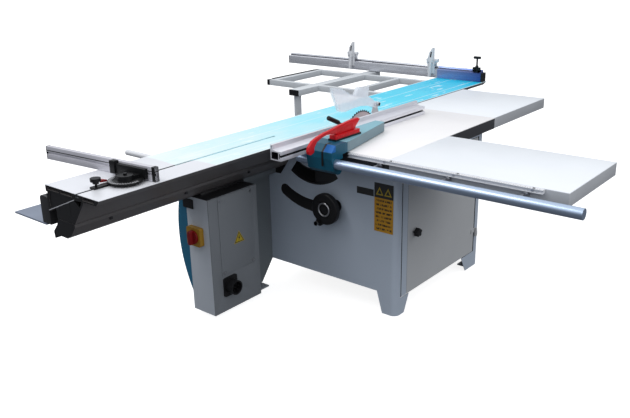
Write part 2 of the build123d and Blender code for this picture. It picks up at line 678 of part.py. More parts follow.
DISC_R = 74
MITRE_TURN = 5
MITRE_FENCE_H = 62
MITRE_FENCE_L = 712
MITRE_FENCE_R = 102


def mitre_fence():
    z = TABLE_Z + 1
    bar = box(MITRE_FENCE_R - MITRE_FENCE_L, MITRE_FENCE_R, 70, 92, z, z + MITRE_FENCE_H)
    bar -= box(MITRE_FENCE_R - MITRE_FENCE_L - 1, MITRE_FENCE_R + 1, 69, 76, z + 26, z + 36)
    return Pos(*MITRE, 0) * Rot(0, 0, MITRE_TURN) * bar


def mitre_knob():
    x, y = SLOT_X, MITRE_CLAMP_Y
    stem = rod("z", 5, (x, y, TABLE_Z + 8), 22)
    return stem + rod("z", 22, (x, y, TABLE_Z + 30), 14) + rod("z", 13, (x, y, TABLE_Z + 20), 10)


# ---- rip fence ----------------------------------------------------------------------------
CAST_RIGHT = CAST_LEFT + CAST_W
CAST_NEAR = BAR_Y - BAR_R - 11


def rip_casting():
    bottom = BAR_Z - BAR_R - 30
    far = BAR_Y + BAR_R + 26
    nose = [(CAST_NEAR, 862), (CAST_NEAR, 893), (CAST_NEAR + 30, CAST_TOP), (far + 20, CAST_TOP),
            (far + 20, 873), (far, 873), (far, 800), (far - 20, bottom), (CAST_NEAR + 44, bottom),
            (CAST_NEAR + 12, bottom + 22)]
    block = yz(nose, CAST_LEFT, CAST_RIGHT)
    block -= rod("x", BAR_R + RUN, (CAST_LEFT - 1, BAR_Y, BAR_Z), CAST_W + 2)
    block -= box(CAST_LEFT - 1, CAST_RIGHT + 1, BAR_Y, far + 30, BAR_Z - STUD_R - 8, BAR_Z + STUD_R + 8)
    arm = xy([(CAST_LEFT, far), (CAST_RIGHT, far), (CAST_RIGHT - 4, -560), (150, -142), (CAST_LEFT, -142)],
             TABLE_Z + 4, CAST_TOP)
    pad = xy([(CAST_LEFT + 6, far + 30), (CAST_RIGHT - 10, far + 30), (CAST_RIGHT - 12, -556), (143, -150),
              (CAST_LEFT + 6, -150)], TABLE_Z + RUN, TABLE_Z + 4)
    whole = block + arm + pad
    for x in (LEVER_X - 22, LEVER_X + 14):
        whole += rod("x", 14, (x, LEVER_Y, CAST_TOP + 12), 8)
        whole += box(x, x + 8, LEVER_Y - 14, LEVER_Y + 14, CAST_TOP - 1, CAST_TOP + 12)
    return whole - rod("x", 6 + BORE_RUN, (LEVER_X - 60, LEVER_Y, CAST_TOP + 12), 100)


LEVER_X = 122
LEVER_Y = -392


def clamp_lever():
    z = CAST_TOP + 12
    hub = rod("x", 11.5, (LEVER_X - 13, LEVER_Y, z), 26) + rod("x", 6, (LEVER_X - 26, LEVER_Y, z), 52)
    raised = (Align.CENTER, Align.CENTER, Align.MIN)
    lean = Pos(LEVER_X, LEVER_Y, z) * Rot(65, 0, 0)
    shaft = lean * Cylinder(5, 110, align=raised)
    grip = lean * Pos(0, 0, 108) * Cylinder(11, 88, align=raised)
    return hub + shaft + fillet(grip.edges(), 4)


def rip_profile():
    z = TABLE_Z + RUN
    x = FENCE_X
    section = [(x, z), (x, z + FENCE_H), (x + 14, z + FENCE_H), (x + 14, z + 50), (x + 34, z + FOOT_H),
               (x + FENCE_FOOT, z + FOOT_H), (x + FENCE_FOOT, z)]
    profile = xz(section, FENCE_NEAR, FENCE_NEAR + FENCE_LENGTH)
    for x0, x1, z0, z1 in ((x + FENCE_FOOT - 8, x + FENCE_FOOT + 1, z + 18, z + 28),
                           (x + FENCE_FOOT - 12, x + FENCE_FOOT - 7, z + 12, z + 34),
                           (x + 4, x + 10, z + 52, z + 66), (x + 6, x + 47, z + 6, z + FOOT_H - 6)):
        profile -= box(x0, x1, FENCE_NEAR - 1, FENCE_NEAR + FENCE_LENGTH + 1, z0, z1)
    return profile


def push_block():
    block = box(158, 200, CAST_NEAR + 90, CAST_NEAR + 283, CAST_TOP + RUN, STICK_SEAT - RUN)
    return fillet(block.edges().filter_by(Axis.Z), 8)


def push_stick():
    """A stick with a hooked handle in front, a slim neck and a notched head at its far end."""
    shape = [(-76, -58), (-52, -50), (-48, -26), (-30, -6), (2, 6), (42, 12), (97, 8), (117, 0), (254, 0),
             (266, 14), (299, 42), (282, 50), (222, 48), (142, 40), (82, 31), (22, 25), (-18, 17),
             (-58, 5), (-87, -18), (-93, -38), (-88, -52)]
    return yz([(CAST_NEAR + y, STICK_SEAT + z) for y, z in shape], 171, 187)


# ---- swing arm ----------------------------------------------------------------------------
ARM_DX = POST[0] - ARM_PIVOT[0]
ARM_DY = POST[1] - ARM_PIVOT[1]
ARM_LEN = math.hypot(ARM_DX, ARM_DY)
ARM_ANGLE = math.degrees(math.atan2(ARM_DY, ARM_DX))


def arm_bearing():
    px, py = ARM_PIVOT
    plate = box(-H - 10, -H, py - 60, py + 60, ARM_Z - 90, ARM_Z + 90)
    pin = rod("z", 12, (px, py, ARM_Z - 80), 160)
    ears = [box(px - 25, -H - 10, py - 25, py + 25, z, z + 14) for z in (ARM_Z - 84, ARM_Z + 70)]
    return plate + pin + ears[0] + ears[1]


def swing_arm():
    px, py = ARM_PIVOT
    sleeve = rod("z", 20, (0, 0, ARM_Z - 66), 132)
    half, bore = ARM_HALF, ARM_HALF - ARM_WALL
    tube = box(18, 480, -half, half, ARM_Z - half, ARM_Z + half)
    tube -= box(24, 481, -bore, bore, ARM_Z - bore, ARM_Z + bore)
    arm = Pos(px, py, 0) * Rot(0, 0, ARM_ANGLE) * (sleeve + tube)
    return arm - rod("z", 12 + BORE_RUN, (px, py, ARM_Z - 100), 200)


def support_post():
    px, py = ARM_PIVOT
    slim = ARM_HALF - ARM_WALL - RUN
    inner = box(140, ARM_LEN - POST_W / 2, -slim, slim, ARM_Z - slim, ARM_Z + slim)
    inner = Pos(px, py, 0) * Rot(0, 0, ARM_ANGLE) * inner
    half = POST_W / 2
    post = Pos(px, py, 0) * Rot(0, 0, ARM_ANGLE) * box(ARM_LEN - half, ARM_LEN + half, -half, half, ARM_Z - 25,
                                                      TUBE_TOP - TUBE - RUN)
    return inner + post


# ---- saw unit -----------------------------------------------------------------------------
SEG_Y = H - 21
SEG_T = 20
SADDLE_Y = SEG_Y - SEG_T / 2 + 2
HEIGHT_SHAFT = (WHEEL_X - CUT_X, WHEEL_Z - TABLE_Z)


def trunnion_saddles():
    """Fixed arc rails, front and rear, and the bearing of the tilt wheel's shaft."""
    ring = rod("y", 26, (TILT_WHEEL_X, -H + SHEET, TILT_WHEEL_Z), 30)
    saddles = [ring - rod("y", SHAFT_R + BORE_RUN, (TILT_WHEEL_X, -H, TILT_WHEEL_Z), 60)]
    for y0, y1 in ((-H + SHEET, -SADDLE_Y), (SADDLE_Y, H - SHEET)):
        saddles.append(tilt_arc(170, SEG_IN - RUN, -35, 38, y0, y1))
        saddles.append(tilt_arc(SEG_OUT + RUN, 266, -35, 45, y0, y1))
    return saddles


def trunnion_segments():
    parts = []
    for y in (-SEG_Y, SEG_Y):
        parts.append(tilt_arc(SEG_IN, SEG_OUT, 2, 48, y - SEG_T / 2, y + SEG_T / 2))
    return parts


def tilt_cradle():
    near, far = -SEG_Y + SEG_T / 2, SEG_Y - SEG_T / 2
    wing_a = rel(84, 96, near, -100, -330, -140)
    wing_b = rel(84, 96, 100, far, -330, -140)
    bridge = rel(84, 96, -101, 101, -228, -205)
    tail = rel(84, 96, near, -300, -380, -329)
    bearing = rel(95, 150, near + 5, near + 45, -380, -330)
    cradle = wing_a + wing_b + bridge + tail + bearing
    for y in (-ROD_Y, ROD_Y):
        cradle += rel(48, 85, y - 22, y + 22, -165, -147)
        cradle += rel(48, 85, y - 22, y + 22, -328, -310)
    shaft = (CUT_X + HEIGHT_SHAFT[0], near - 10, WHEEL_Z)
    cradle -= rod("y", SHAFT_R + BORE_RUN, shaft, 100)
    return [cradle] + trunnion_segments() + guide_rods()


ROD_Y = 140
ROD_X = 63
ROD_R = 11


def guide_rods():
    return [rod("z", ROD_R, (CUT_X + ROD_X, y, TABLE_Z - 310), 145) for y in (-ROD_Y, ROD_Y)]


PLATE_X = 30
MOTOR_DX = 45


def saw_carriage():
    plate = rel(PLATE_X, 42, -162, 162, -375, -50)
    housing = rod("x", 36, (CUT_X + 42, 0, ARBOR_Z), 150)
    whole = plate + housing
    for y in (-ROD_Y, ROD_Y):
        whole += rel(41, 79, y - 22, y + 22, -232, -172)
        whole -= rod("z", ROD_R + BORE_RUN, (CUT_X + ROD_X, y, TABLE_Z - 300), 200)
    scoring = rod("x", 20, (CUT_X + 12, SCORE_Y, SCORE_Z), 50) + rel(14, 40, -230, -155, -118, -84)
    whole += scoring + rel(PLATE_X, 42, -250, -150, -110, -50)
    knife_arm = rel(1.6, 42, 168, 200, -140, -112) + rel(PLATE_X, 42, 150, 200, -140, -60)
    whole += knife_arm
    whole -= rod("x", ARBOR_R + BORE_RUN, (CUT_X + 5, 0, ARBOR_Z), 200)
    whole -= rod("x", 9 + BORE_RUN, (CUT_X, 0, MOTOR_Z), 60)
    whole -= rod("x", 7 + BORE_RUN, (CUT_X, SCORE_Y, SCORE_Z), 70)
    return whole


SCORE_Y = -238
SCORE_Z = 806
SCORE_R = 60


def scoring_blade():
    spindle = rod("x", 7, (CUT_X - 10, SCORE_Y, SCORE_Z), 66)
    disc = rod("x", SCORE_R, (CUT_X - 1.5, SCORE_Y, SCORE_Z), 3)
    collar = rod("x", 12, (CUT_X + 1.5, SCORE_Y, SCORE_Z), 9)
    collar += rod("x", 12, (CUT_X - 10, SCORE_Y, SCORE_Z), 8.5)
    return spindle + disc + collar


def motor():
    body = rod("x", MOTOR_R, (CUT_X + MOTOR_DX, 0, MOTOR_Z), 235)
    foot = rod("x", 70, (CUT_X + 42, 0, MOTOR_Z), 5)
    return body + foot - rod("x", 9 + BORE_RUN, (CUT_X + 40, 0, MOTOR_Z), 60)


PULLEY_X = 13
PULLEY_W = 14
PULLEY_BIG = 46
PULLEY_SMALL = 32
BELT_T = 5


def motor_pulley():
    return rod("x", PULLEY_BIG, (CUT_X + PULLEY_X, 0, MOTOR_Z), PULLEY_W) + rod(
        "x", 9, (CUT_X + PULLEY_X, 0, MOTOR_Z), 70)


def main_arbor():
    spindle = rod("x", ARBOR_R, (CUT_X - 26, 0, ARBOR_Z), 200)
    pulley = rod("x", PULLEY_SMALL, (CUT_X + PULLEY_X, 0, ARBOR_Z), PULLEY_W)
    inner = rod("x", 40, (CUT_X + BLADE_T / 2, 0, ARBOR_Z), 8)
    outer = rod("x", 40, (CUT_X - BLADE_T / 2 - 7, 0, ARBOR_Z), 7)
    nut = rod("x", 22, (CUT_X - 24, 0, ARBOR_Z), 16)
    return spindle + pulley + inner + outer + nut


TEETH = 48


def saw_blade():
    """Flat teeth cut as notches round the rim."""
    outline = []
    for i in range(TEETH):
        a = 2 * math.pi * i / TEETH
        b = a + 2 * math.pi / TEETH * 0.35
        outline.append((BLADE_R * math.cos(a), ARBOR_Z + BLADE_R * math.sin(a)))
        outline.append(((BLADE_R - 9) * math.cos(b), ARBOR_Z + (BLADE_R - 9) * math.sin(b)))
    disc = yz(outline, CUT_X - BLADE_T / 2, CUT_X + BLADE_T / 2)
    return disc - rod("x", ARBOR_R, (CUT_X - 5, 0, ARBOR_Z), 10)


def drive_belt():
    """Outer belt loop on the two pulleys, as a flat ring with straight runs."""
    d = ARBOR_Z - MOTOR_Z
    a = math.asin((PULLEY_BIG - PULLEY_SMALL) / d)
    steps = 16
    rims = []
    for grow in (RUN, RUN + BELT_T):
        big, small = PULLEY_BIG + grow, PULLEY_SMALL + grow
        low = [a - (math.pi + 2 * a) * i / steps for i in range(steps + 1)]
        high = [math.pi - a - (math.pi - 2 * a) * i / steps for i in range(steps + 1)]
        rims.append([(big * math.cos(t), MOTOR_Z + big * math.sin(t)) for t in low]
                    + [(small * math.cos(t), ARBOR_Z + small * math.sin(t)) for t in high])
    outer = yz(rims[1], CUT_X + PULLEY_X + 1, CUT_X + PULLEY_X + PULLEY_W - 1)
    return outer - yz(rims[0], CUT_X + PULLEY_X - 1, CUT_X + PULLEY_X + PULLEY_W + 1)


GUARD_PIN = (142, 941)


def ring_points(r, a0, a1, n):
    return [(r * math.cos(math.radians(a0 + (a1 - a0) * i / n)),
             ARBOR_Z + r * math.sin(math.radians(a0 + (a1 - a0) * i / n))) for i in range(n + 1)]


def riving_knife():
    py, pz = GUARD_PIN
    head = [(py - 14, pz + 6), (py + 4, pz + 6), (py + 13, pz - 3)]
    outline = ring_points(155, -20, 50, 14) + head + ring_points(205, 35, -15, 10)
    knife = yz(outline, CUT_X - 1.3, CUT_X + 1.3)
    pin = rod("x", 4, (CUT_X - 16, *GUARD_PIN), 34)
    knob = rod("x", 11, (CUT_X + 14, *GUARD_PIN), 12) + rod("x", 7, (CUT_X - 16, *GUARD_PIN), 4)
    return knife + pin + knob


def blade_guard():
    outer = [(-257, 1091), (-185, 1077), (-104, 1034), (-60, 1024), (-31, 1062), (64, 1050), (58, 1000),
             (120, 962), (168, 950), (170, 926), (120, 922), (70, 944), (-20, 956), (-85, 954), (-150, 948),
             (-202, 957),
             (-254, 1056)]
    inner = [(-251, 1086), (-187, 1073), (-106, 1030), (-58, 1019), (-28, 1057), (60, 1046), (54, 998),
             (118, 958), (172, 944), (172, 900), (-196, 900), (-198, 958), (-248, 1056)]
    shell = yz(outer, CUT_X - 11, CUT_X + 11) - yz(inner, CUT_X - 8.5, CUT_X + 8.5)
    return shell - rod("x", 4 + RUN, (CUT_X - 30, *GUARD_PIN), 60)


WHEEL_Y = -H - 69
WHEEL_T = 26
HANDLE_OUT = 26


def crank_wheel(x, z, r, shaft_end, lobe_angle):
    """A handwheel on a shaft along Y, drawn out to a lobe that carries a small handle."""
    wheel = rod("y", r, (x, WHEEL_Y, z), WHEEL_T)
    wheel = fillet(wheel.edges().filter_by(GeomType.CIRCLE).sort_by(Axis.Y)[0:1], 8)
    wheel -= rod("y", r * 0.5, (x, WHEEL_Y - 1, z), 7)
    wheel += rod("y", r * 0.28, (x, WHEEL_Y, z), 10)
    a = math.radians(lobe_angle)
    ux, uz = math.cos(a), math.sin(a)
    lobe_r = r * 0.26
    lx, lz = x + r * ux, z + r * uz
    wide = r * 0.72
    taper = [(x - uz * wide, z + ux * wide), (x + uz * wide, z - ux * wide),
             (lx + uz * lobe_r, lz - ux * lobe_r), (lx - uz * lobe_r, lz + ux * lobe_r)]
    wheel += xz(taper, WHEEL_Y + 7, WHEEL_Y + WHEEL_T)
    wheel += rod("y", lobe_r, (lx, WHEEL_Y + 4, lz), WHEEL_T - 4)
    wheel += rod("y", lobe_r * 0.55, (lx, WHEEL_Y - HANDLE_OUT, lz), HANDLE_OUT + 10)
    wheel += rod("y", SHAFT_R, (x, WHEEL_Y + 20, z), shaft_end - WHEEL_Y - 20)
    return wheel


def height_wheel():
    return crank_wheel(WHEEL_X, WHEEL_Z, WHEEL_R, -SEG_Y + 60, -115)


def tilt_wheel():
    return crank_wheel(TILT_WHEEL_X, TILT_WHEEL_Z, TILT_WHEEL_R, -H + 40, 200)


def main():
    os.makedirs("parts", exist_ok=True)
    single = [cabinet_front_panel, cabinet_left_side, cabinet_rear_panel, cabinet_right_frame, anchor_feet,
              hinge_pins, cabinet_door, door_knob, main_table, rear_extension_table, right_extension_table,
              guide_bar, guide_bar_studs, scale_rail, frame_screws, electrical_box, electrical_cover,
              switch_base, switch_knob, plug_inlet, side_cover, base_beam, roller_carriage, sliding_table,
              side_shelf, table_handle, outrigger_frame, outrigger_caps, outrigger_roller, crosscut_fence,
              crosscut_end_caps, fence_clamp_knob, mitre_base, mitre_head, mitre_fence, rip_casting,
              clamp_lever, rip_profile, push_block, push_stick, arm_bearing, swing_arm, support_post,
              trunnion_saddles, tilt_cradle, saw_carriage, scoring_blade, motor, motor_pulley, main_arbor,
              saw_blade, drive_belt, riving_knife, blade_guard, height_wheel, tilt_wheel]
    for make in single:
        save(make.__name__, make())
    for name, x in zip(("left", "right"), STOP_XS):
        save(f"flip_carrier_{name}", flip_stop_carrier(x))
        save(f"flip_arm_{name}", flip_stop_arm(x))


if __name__ == "__main__":
    main()
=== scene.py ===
import bmesh
import bpy
import json
import math
from mathutils import Matrix, Vector


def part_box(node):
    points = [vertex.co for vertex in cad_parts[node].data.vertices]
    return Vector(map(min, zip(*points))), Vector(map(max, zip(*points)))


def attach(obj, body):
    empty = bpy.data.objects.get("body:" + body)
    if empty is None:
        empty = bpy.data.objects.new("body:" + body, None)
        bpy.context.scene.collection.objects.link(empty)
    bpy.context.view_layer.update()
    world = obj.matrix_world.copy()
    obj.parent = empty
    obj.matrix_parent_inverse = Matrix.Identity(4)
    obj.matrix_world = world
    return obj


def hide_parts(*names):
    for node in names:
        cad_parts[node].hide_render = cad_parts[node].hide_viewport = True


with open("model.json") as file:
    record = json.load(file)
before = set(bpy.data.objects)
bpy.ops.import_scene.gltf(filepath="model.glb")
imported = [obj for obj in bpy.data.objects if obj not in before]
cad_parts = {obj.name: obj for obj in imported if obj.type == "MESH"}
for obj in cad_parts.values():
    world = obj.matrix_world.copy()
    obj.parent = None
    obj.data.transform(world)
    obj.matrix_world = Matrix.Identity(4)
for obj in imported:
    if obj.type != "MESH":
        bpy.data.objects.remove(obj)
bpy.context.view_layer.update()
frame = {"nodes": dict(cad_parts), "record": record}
nodes = frame["nodes"]

TABLE_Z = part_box("main_table")[1][2]
CUT_X = sum(c[0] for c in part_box("saw_blade")) / 2

FILM_FROM = 0.62                        # from the sliding table's near end to the film
FILM_SPAN = 1.17                        # from the same end to where the film bridges the slot
FILM_STOPS = [(0.0, (0.78, 0.87, 0.87)), (0.28, (0.56, 0.84, 0.89)), (0.5, (0.30, 0.80, 0.93)),
              (0.68, (0.05, 0.68, 0.88)), (1.0, (0.012, 0.56, 0.82))]
SLOT_IN = 0.225                         # from the sliding table's left edge to the slot's middle
WEB_LOW = (-0.228, 0.756)               # foot of the bright slanting web on its cut end, x and z
WEB_SLOPE = 0.087 / 0.207
END_THICK = 0.003                       # black plates inside the ends of the profiles, as painted shade in their hollows
SHEET = 0.0018                          # inner skin of the cabinet's sheets
CORNER = 0.036                          # rounded front corner of the cabinet
CAST_TOP = TABLE_Z + 0.053              # level top of the fence casting
NOSE_Z = TABLE_Z + 0.023                # where its nose starts to slope
BOX_TALL = 0.615                        # electrical box, from foot to top
BRACKET_FROM = 0.6899                   # the side shelf is black from this height up
PRINT_ROWS = 48.0                       # rows of small print in a metre of the warning plate
MITRE_AT = Vector((0.033, -1.389, TABLE_Z))
MITRE_TURN = math.radians(5)
BAR_OUT, BAR_DEEP = 0.070, 0.022        # mitre bar's face from the pivot, and its thickness
WHEEL_X, WHEEL_Z = CUT_X + 0.125, 0.516

CABINET_TONE = (0.455, 0.515, 0.60)
# painted shade: near black inside the closed cabinet and on the door's inner face
INSIDE_SHADE_TONE = (0.012, 0.012, 0.013)
WHITE = (1, 1, 1, 1)


# ---- shader wiring --------------------------------------------------------------------------
class Wire:
    """A socket that takes part in sums; each sum adds its Math node."""

    def __init__(self, finish, socket):
        self.finish = finish
        self.socket = socket

    def _sum(self, operation, first, second):
        return self.finish.add("Math", {"operation": operation}, {0: first, 1: second})

    def __add__(self, other):
        return self._sum("ADD", self, other)

    def __radd__(self, other):
        return self._sum("ADD", other, self)

    def __sub__(self, other):
        return self._sum("SUBTRACT", self, other)

    def __rsub__(self, other):
        return self._sum("SUBTRACT", other, self)

    def __mul__(self, other):
        return self._sum("MULTIPLY", self, other)

    def __rmul__(self, other):
        return self._sum("MULTIPLY", other, self)

    def __gt__(self, other):
        return self._sum("GREATER_THAN", self, other)

    def __lt__(self, other):
        return self._sum("LESS_THAN", self, other)


class Finish:
    """A material made node by node."""

    def __init__(self, name):
        self.material = bpy.data.materials.new(name)
        self.material.use_nodes = True
        self.tree = self.material.node_tree
        self.tree.nodes.clear()

    def add(self, kind, settings=None, values=None, out=0):
        node = self.tree.nodes.new("ShaderNode" + kind)
        for key, value in (settings or {}).items():
            if key == "stops":
                while len(node.color_ramp.elements) < len(value):
                    node.color_ramp.elements.new(1.0)
                for element, (place, shade) in zip(node.color_ramp.elements, value):
                    element.position = place
                    element.color = (*shade, 1)
            else:
                setattr(node, key, value)
        for key, value in (values or {}).items():
            socket = node.inputs[key]
            if isinstance(value, Wire):
                self.tree.links.new(value.socket, socket)
            else:
                socket.default_value = value
        return Wire(self, node.outputs[out])

    def place(self):
        """Where the point is on the piece, with its x, y and z."""
        spot = self.add("TexCoord", out=3)
        parts = [self.add("SeparateXYZ", None, {0: spot}, out=i) for i in range(3)]
        return spot, *parts

    def noise(self, spot, scale, detail=3.0, stretch=None):
        if stretch:
            spot = self.add("Mapping", None, {"Vector": spot, "Scale": stretch})
        return self.add("TexNoise", None, {"Vector": spot, "Scale": scale, "Detail": detail})

    def away(self, value, centre):
        """How far a value is from a centre, either way."""
        return self.add("Math", {"operation": "ABSOLUTE"}, {0: value - centre})

    def spread(self, value, low, high):
        """A 0..1 value brought to low..high."""
        return low + value * (high - low)

    def blend(self, mask, first, second):
        """Two colours mixed by a mask."""
        first = first if isinstance(first, Wire) else (*first, 1)
        second = second if isinstance(second, Wire) else (*second, 1)
        return self.add("Mix", {"data_type": "RGBA"}, {0: mask, 6: first, 7: second}, out=2)

    def shade(self, colour, value, amount):
        """A colour made a little darker and lighter by a 0..1 value."""
        dark = tuple(c * (1 - amount) for c in colour)
        light = tuple(min(1.0, c * (1 + amount)) for c in colour)
        return self.blend(value, dark, light)

    def bump(self, height, strength, distance):
        return self.add("Bump", None, {"Height": height, "Strength": strength, "Distance": distance})

    def finish(self, colour, rough, metal=0.0, normal=None, **more):
        values = {"Base Color": colour if isinstance(colour, Wire) else (*colour, 1),
                  "Roughness": rough, "Metallic": metal}
        if normal:
            values["Normal"] = normal
        values.update(more)
        shader = self.add("BsdfPrincipled", None, values)
        out = self.tree.nodes.new("ShaderNodeOutputMaterial")
        self.tree.links.new(shader.socket, out.inputs[0])
        return self.material


def sprayed(f, spot, tone, rough=0.42):
    """Sprayed paint: a fine orange peel and duller rubbed patches."""
    rubbed = f.noise(spot, 14.0, 5.0)
    peel = f.noise(spot, 375.0, 2.0)
    return f.finish(tone, f.spread(rubbed, rough - 0.08, rough + 0.12), 0.0, f.bump(peel, 0.06, 0.0006))


def powder_coat(name, colour, rough=0.42, shade_inside_box=None):
    """Sprayed paint with faint clouds; inside the closed cabinet it is near black, as painted shade."""
    f = Finish(name)
    spot, x, y, _ = f.place()
    tone = f.shade(colour, f.noise(spot, 3.0), 0.06)
    if shade_inside_box:
        low, high = shade_inside_box
        corner = (x > high[0] - CORNER) * (y < low[1] + CORNER)
        inside = (x > low[0]) * (x < high[0]) * (y > low[1]) * (y < high[1]) * (1 - corner)
        # painted shade: the cabinet's inner faces are near black
        tone = f.blend(inside, tone, INSIDE_SHADE_TONE)
    return sprayed(f, spot, tone, rough)


def brushed(name, colour, rough, along, metal=1.0):
    """Drawn or ground metal, with fine lines that run along one axis."""
    f = Finish(name)
    spot, _, _, _ = f.place()
    stretch = tuple(0.02 if i == along else 1.0 for i in range(3))
    lines = f.noise(spot, 420.0, 3.0, stretch)
    smudge = f.noise(spot, 6.0, 4.0)
    return f.finish(f.shade(colour, smudge, 0.07), f.spread(lines, rough - 0.07, rough + 0.1), metal,
                    f.bump(lines, 0.05, 0.0003))


def moulded(name, colour, rough=0.38, shine=0.5):
    """Plastic: a fine moulded grain and slightly uneven gloss."""
    f = Finish(name)
    spot, _, _, _ = f.place()
    grain = f.noise(spot, 900.0, 2.0)
    dust = f.noise(spot, 20.0, 4.0)
    return f.finish(f.shade(colour, dust, 0.12), f.spread(dust, rough - 0.06, rough + 0.1), 0.0,
                    f.bump(grain, 0.08, 0.0003), **{"Specular IOR Level": shine})


def cast_paint(name, colour, rough=0.4, shine=0.5):
    """Enamel on a rough casting."""
    f = Finish(name)
    spot, _, _, _ = f.place()
    lumps = f.noise(spot, 170.0, 4.0)
    clouds = f.noise(spot, 9.0, 3.0)
    return f.finish(f.shade(colour, clouds, 0.14), f.spread(lumps, rough - 0.08, rough + 0.12), 0.0,
                    f.bump(lumps, 0.22, 0.0012), **{"Specular IOR Level": shine})


def casting_paint():
    """Deep blue enamel on the fence casting, with painted light: brighter on its chamfer, lighter teal on its
    level top and paler along the arm.
    """
    f = Finish("fence casting enamel")
    spot, x, y, z = f.place()
    low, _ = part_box("rip_casting")
    lumps = f.noise(spot, 170.0, 4.0)
    clouds = f.noise(spot, 9.0, 3.0)
    arm = y + (clouds - 0.5) * 0.004 > low[1] + 0.125
    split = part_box("push_stick")[1][0] + 0.009
    # painted light: the chamfer is a brighter blue
    chamfer_lit = (z > TABLE_Z + 0.024) * (y < low[1] + 0.031) * (x > split)
    tone = f.blend(chamfer_lit, f.shade((0.004, 0.085, 0.145), clouds, 0.2), (0.004, 0.13, 0.44))
    # painted light: the level top is a lighter teal
    level = (z > CAST_TOP - 0.0015) * (y > low[1] + 0.112)
    tone = f.blend(level, tone, f.shade((0.20, 0.42, 0.50), clouds, 0.1))
    # painted light: the arm's other faces are paler
    tone = f.blend(arm * (1 - level), tone, f.shade((0.16, 0.24, 0.28), clouds, 0.15))
    pad = z < TABLE_Z + 0.004
    tone = f.blend(arm * pad, tone, (0.01, 0.01, 0.011))
    return f.finish(tone, f.spread(lumps, 0.3, 0.5), 0.0, f.bump(lumps, 0.2, 0.001),
                    **{"Specular IOR Level": 0.3})


def oiled_iron(name, colour):
    """Machined and cast iron inside the cabinet, with dull oily patches."""
    f = Finish(name)
    spot, _, _, _ = f.place()
    grit = f.noise(spot, 260.0, 5.0)
    oil = f.noise(spot, 11.0, 4.0)
    return f.finish(f.shade(colour, oil, 0.3), f.spread(oil, 0.35, 0.65), 0.7, f.bump(grit, 0.2, 0.0008))


def sliding_top():
    """Dark profile with a bright top that has a pale blue protective film, except at the near end; painted
    glints and reflections lie on the film, and painted shade darkens the slot's bare walls and the near cut
    end.
    """
    f = Finish("sliding table film and profile")
    spot, x, y, z = f.place()
    low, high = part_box("sliding_table")
    slot_x = low[0] + SLOT_IN
    lines = f.noise(spot, 420.0, 3.0, (1.0, 0.02, 1.0))
    smudge = f.noise(spot, 5.0, 4.0, (1.0, 0.35, 1.0))
    creases = f.noise(spot, 26.0, 4.0, (1.0, 0.25, 1.0))
    film_sheen_blotches = f.noise(spot, 9.0, 5.0, (1.0, 0.5, 1.0))
    metal_tone = f.shade((0.80, 0.81, 0.85), smudge, 0.07)
    side_tone = f.shade((0.15, 0.14, 0.14), smudge, 0.25)
    along = f.add("MapRange", None, {"Value": y, "From Min": low[1] + 0.5, "From Max": high[1] - 0.25})
    # painted reflection: blotches of light on the film's wrinkles shift its tone
    film_tone = f.add("ValToRGB", {"stops": FILM_STOPS}, {"Fac": along + (film_sheen_blotches - 0.5) * 0.4})
    # painted highlight: glints along the film's creases
    glints = (creases > 0.63) * 0.5
    film_tone = f.blend(glints, film_tone, (0.86, 0.96, 1.0))
    starts = y + (smudge - 0.5) * 0.05 + (x < slot_x) * 0.1 > low[1] + FILM_FROM
    bare = 0.0
    for edge, half in ((low[0] + 0.003, 0.006), (low[0] + 0.135, 0.0025), (low[0] + 0.300, 0.0025),
                       (high[0] - 0.003, 0.005)):
        bare = (f.away(x, edge) < half) + bare
    joined = f.add("Math", {"operation": "MINIMUM"}, {0: bare, 1: 1.0})
    top = z > high[2] - 0.0015
    in_slot = (f.away(x, slot_x) < 0.0135) * (z > high[2] - 0.0155)
    film = starts * top
    tone = f.blend(top, side_tone, metal_tone)
    # painted shade: the slot's walls are darker where no film lines them
    tone = f.blend(in_slot * (1 - top), tone, (0.10, 0.11, 0.12))
    tone = f.blend(in_slot * starts, tone, (0.62, 0.86, 0.92))
    tone = f.blend(film, tone, film_tone)
    tone = f.blend(film * joined * 0.7, tone, (0.88, 0.93, 0.95))
    web = z - (x - WEB_LOW[0]) * WEB_SLOPE - WEB_LOW[1]
    web_face = (web > -0.0005) * (web < 0.0035) * (x > WEB_LOW[0]) * (x < WEB_LOW[0] + 0.20)
    # painted shade: the near cut end is near black, all but the bright edge of its web
    end = (y < low[1] + 0.001) * (z < high[2] - 0.0022)
    tone = f.blend(end, tone, f.blend(web_face, (0.006, 0.006, 0.007), (0.55, 0.55, 0.58)))
    return f.finish(tone, f.spread(lines, 0.28, 0.44), (1 - film) * 0.25, f.bump(creases, 0.12, 0.0006))


def rim_marked(name, colour, edge_colour):
    """Table paint: white on top, with a darker tone on the edge under it."""
    f = Finish(name)
    spot, _, _, z = f.place()
    clouds = f.noise(spot, 4.0)
    grain = f.noise(spot, 300.0, 3.0)
    tone = f.blend(z > TABLE_Z - 0.003, f.shade(edge_colour, clouds, 0.1), f.shade(colour, clouds, 0.03))
    return f.finish(tone, f.spread(clouds, 0.3, 0.42), 0.0, f.bump(grain, 0.05, 0.0004))


def blade_steel():
    """Ground disc with a dark toothed rim."""
    f = Finish("saw blade steel")
    spot, _, y, z = f.place()
    low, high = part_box("saw_blade")
    dy = y - (low[1] + high[1]) / 2
    dz = z - (low[2] + high[2]) / 2
    reach = f.add("Math", {"operation": "SQRT"}, {0: dy * dy + dz * dz})
    smudge = f.noise(spot, 30.0, 3.0)
    rim = reach > (high[2] - low[2]) / 2 - 0.011
    rings = f.noise(f.add("CombineXYZ", None, {0: reach}), 900.0, 2.0)
    tone = f.blend(rim, f.shade((0.52, 0.44, 0.45), smudge, 0.1), (0.05, 0.05, 0.06))
    return f.finish(tone, f.spread(rings, 0.25, 0.4), 0.6, f.bump(rings, 0.05, 0.0002))


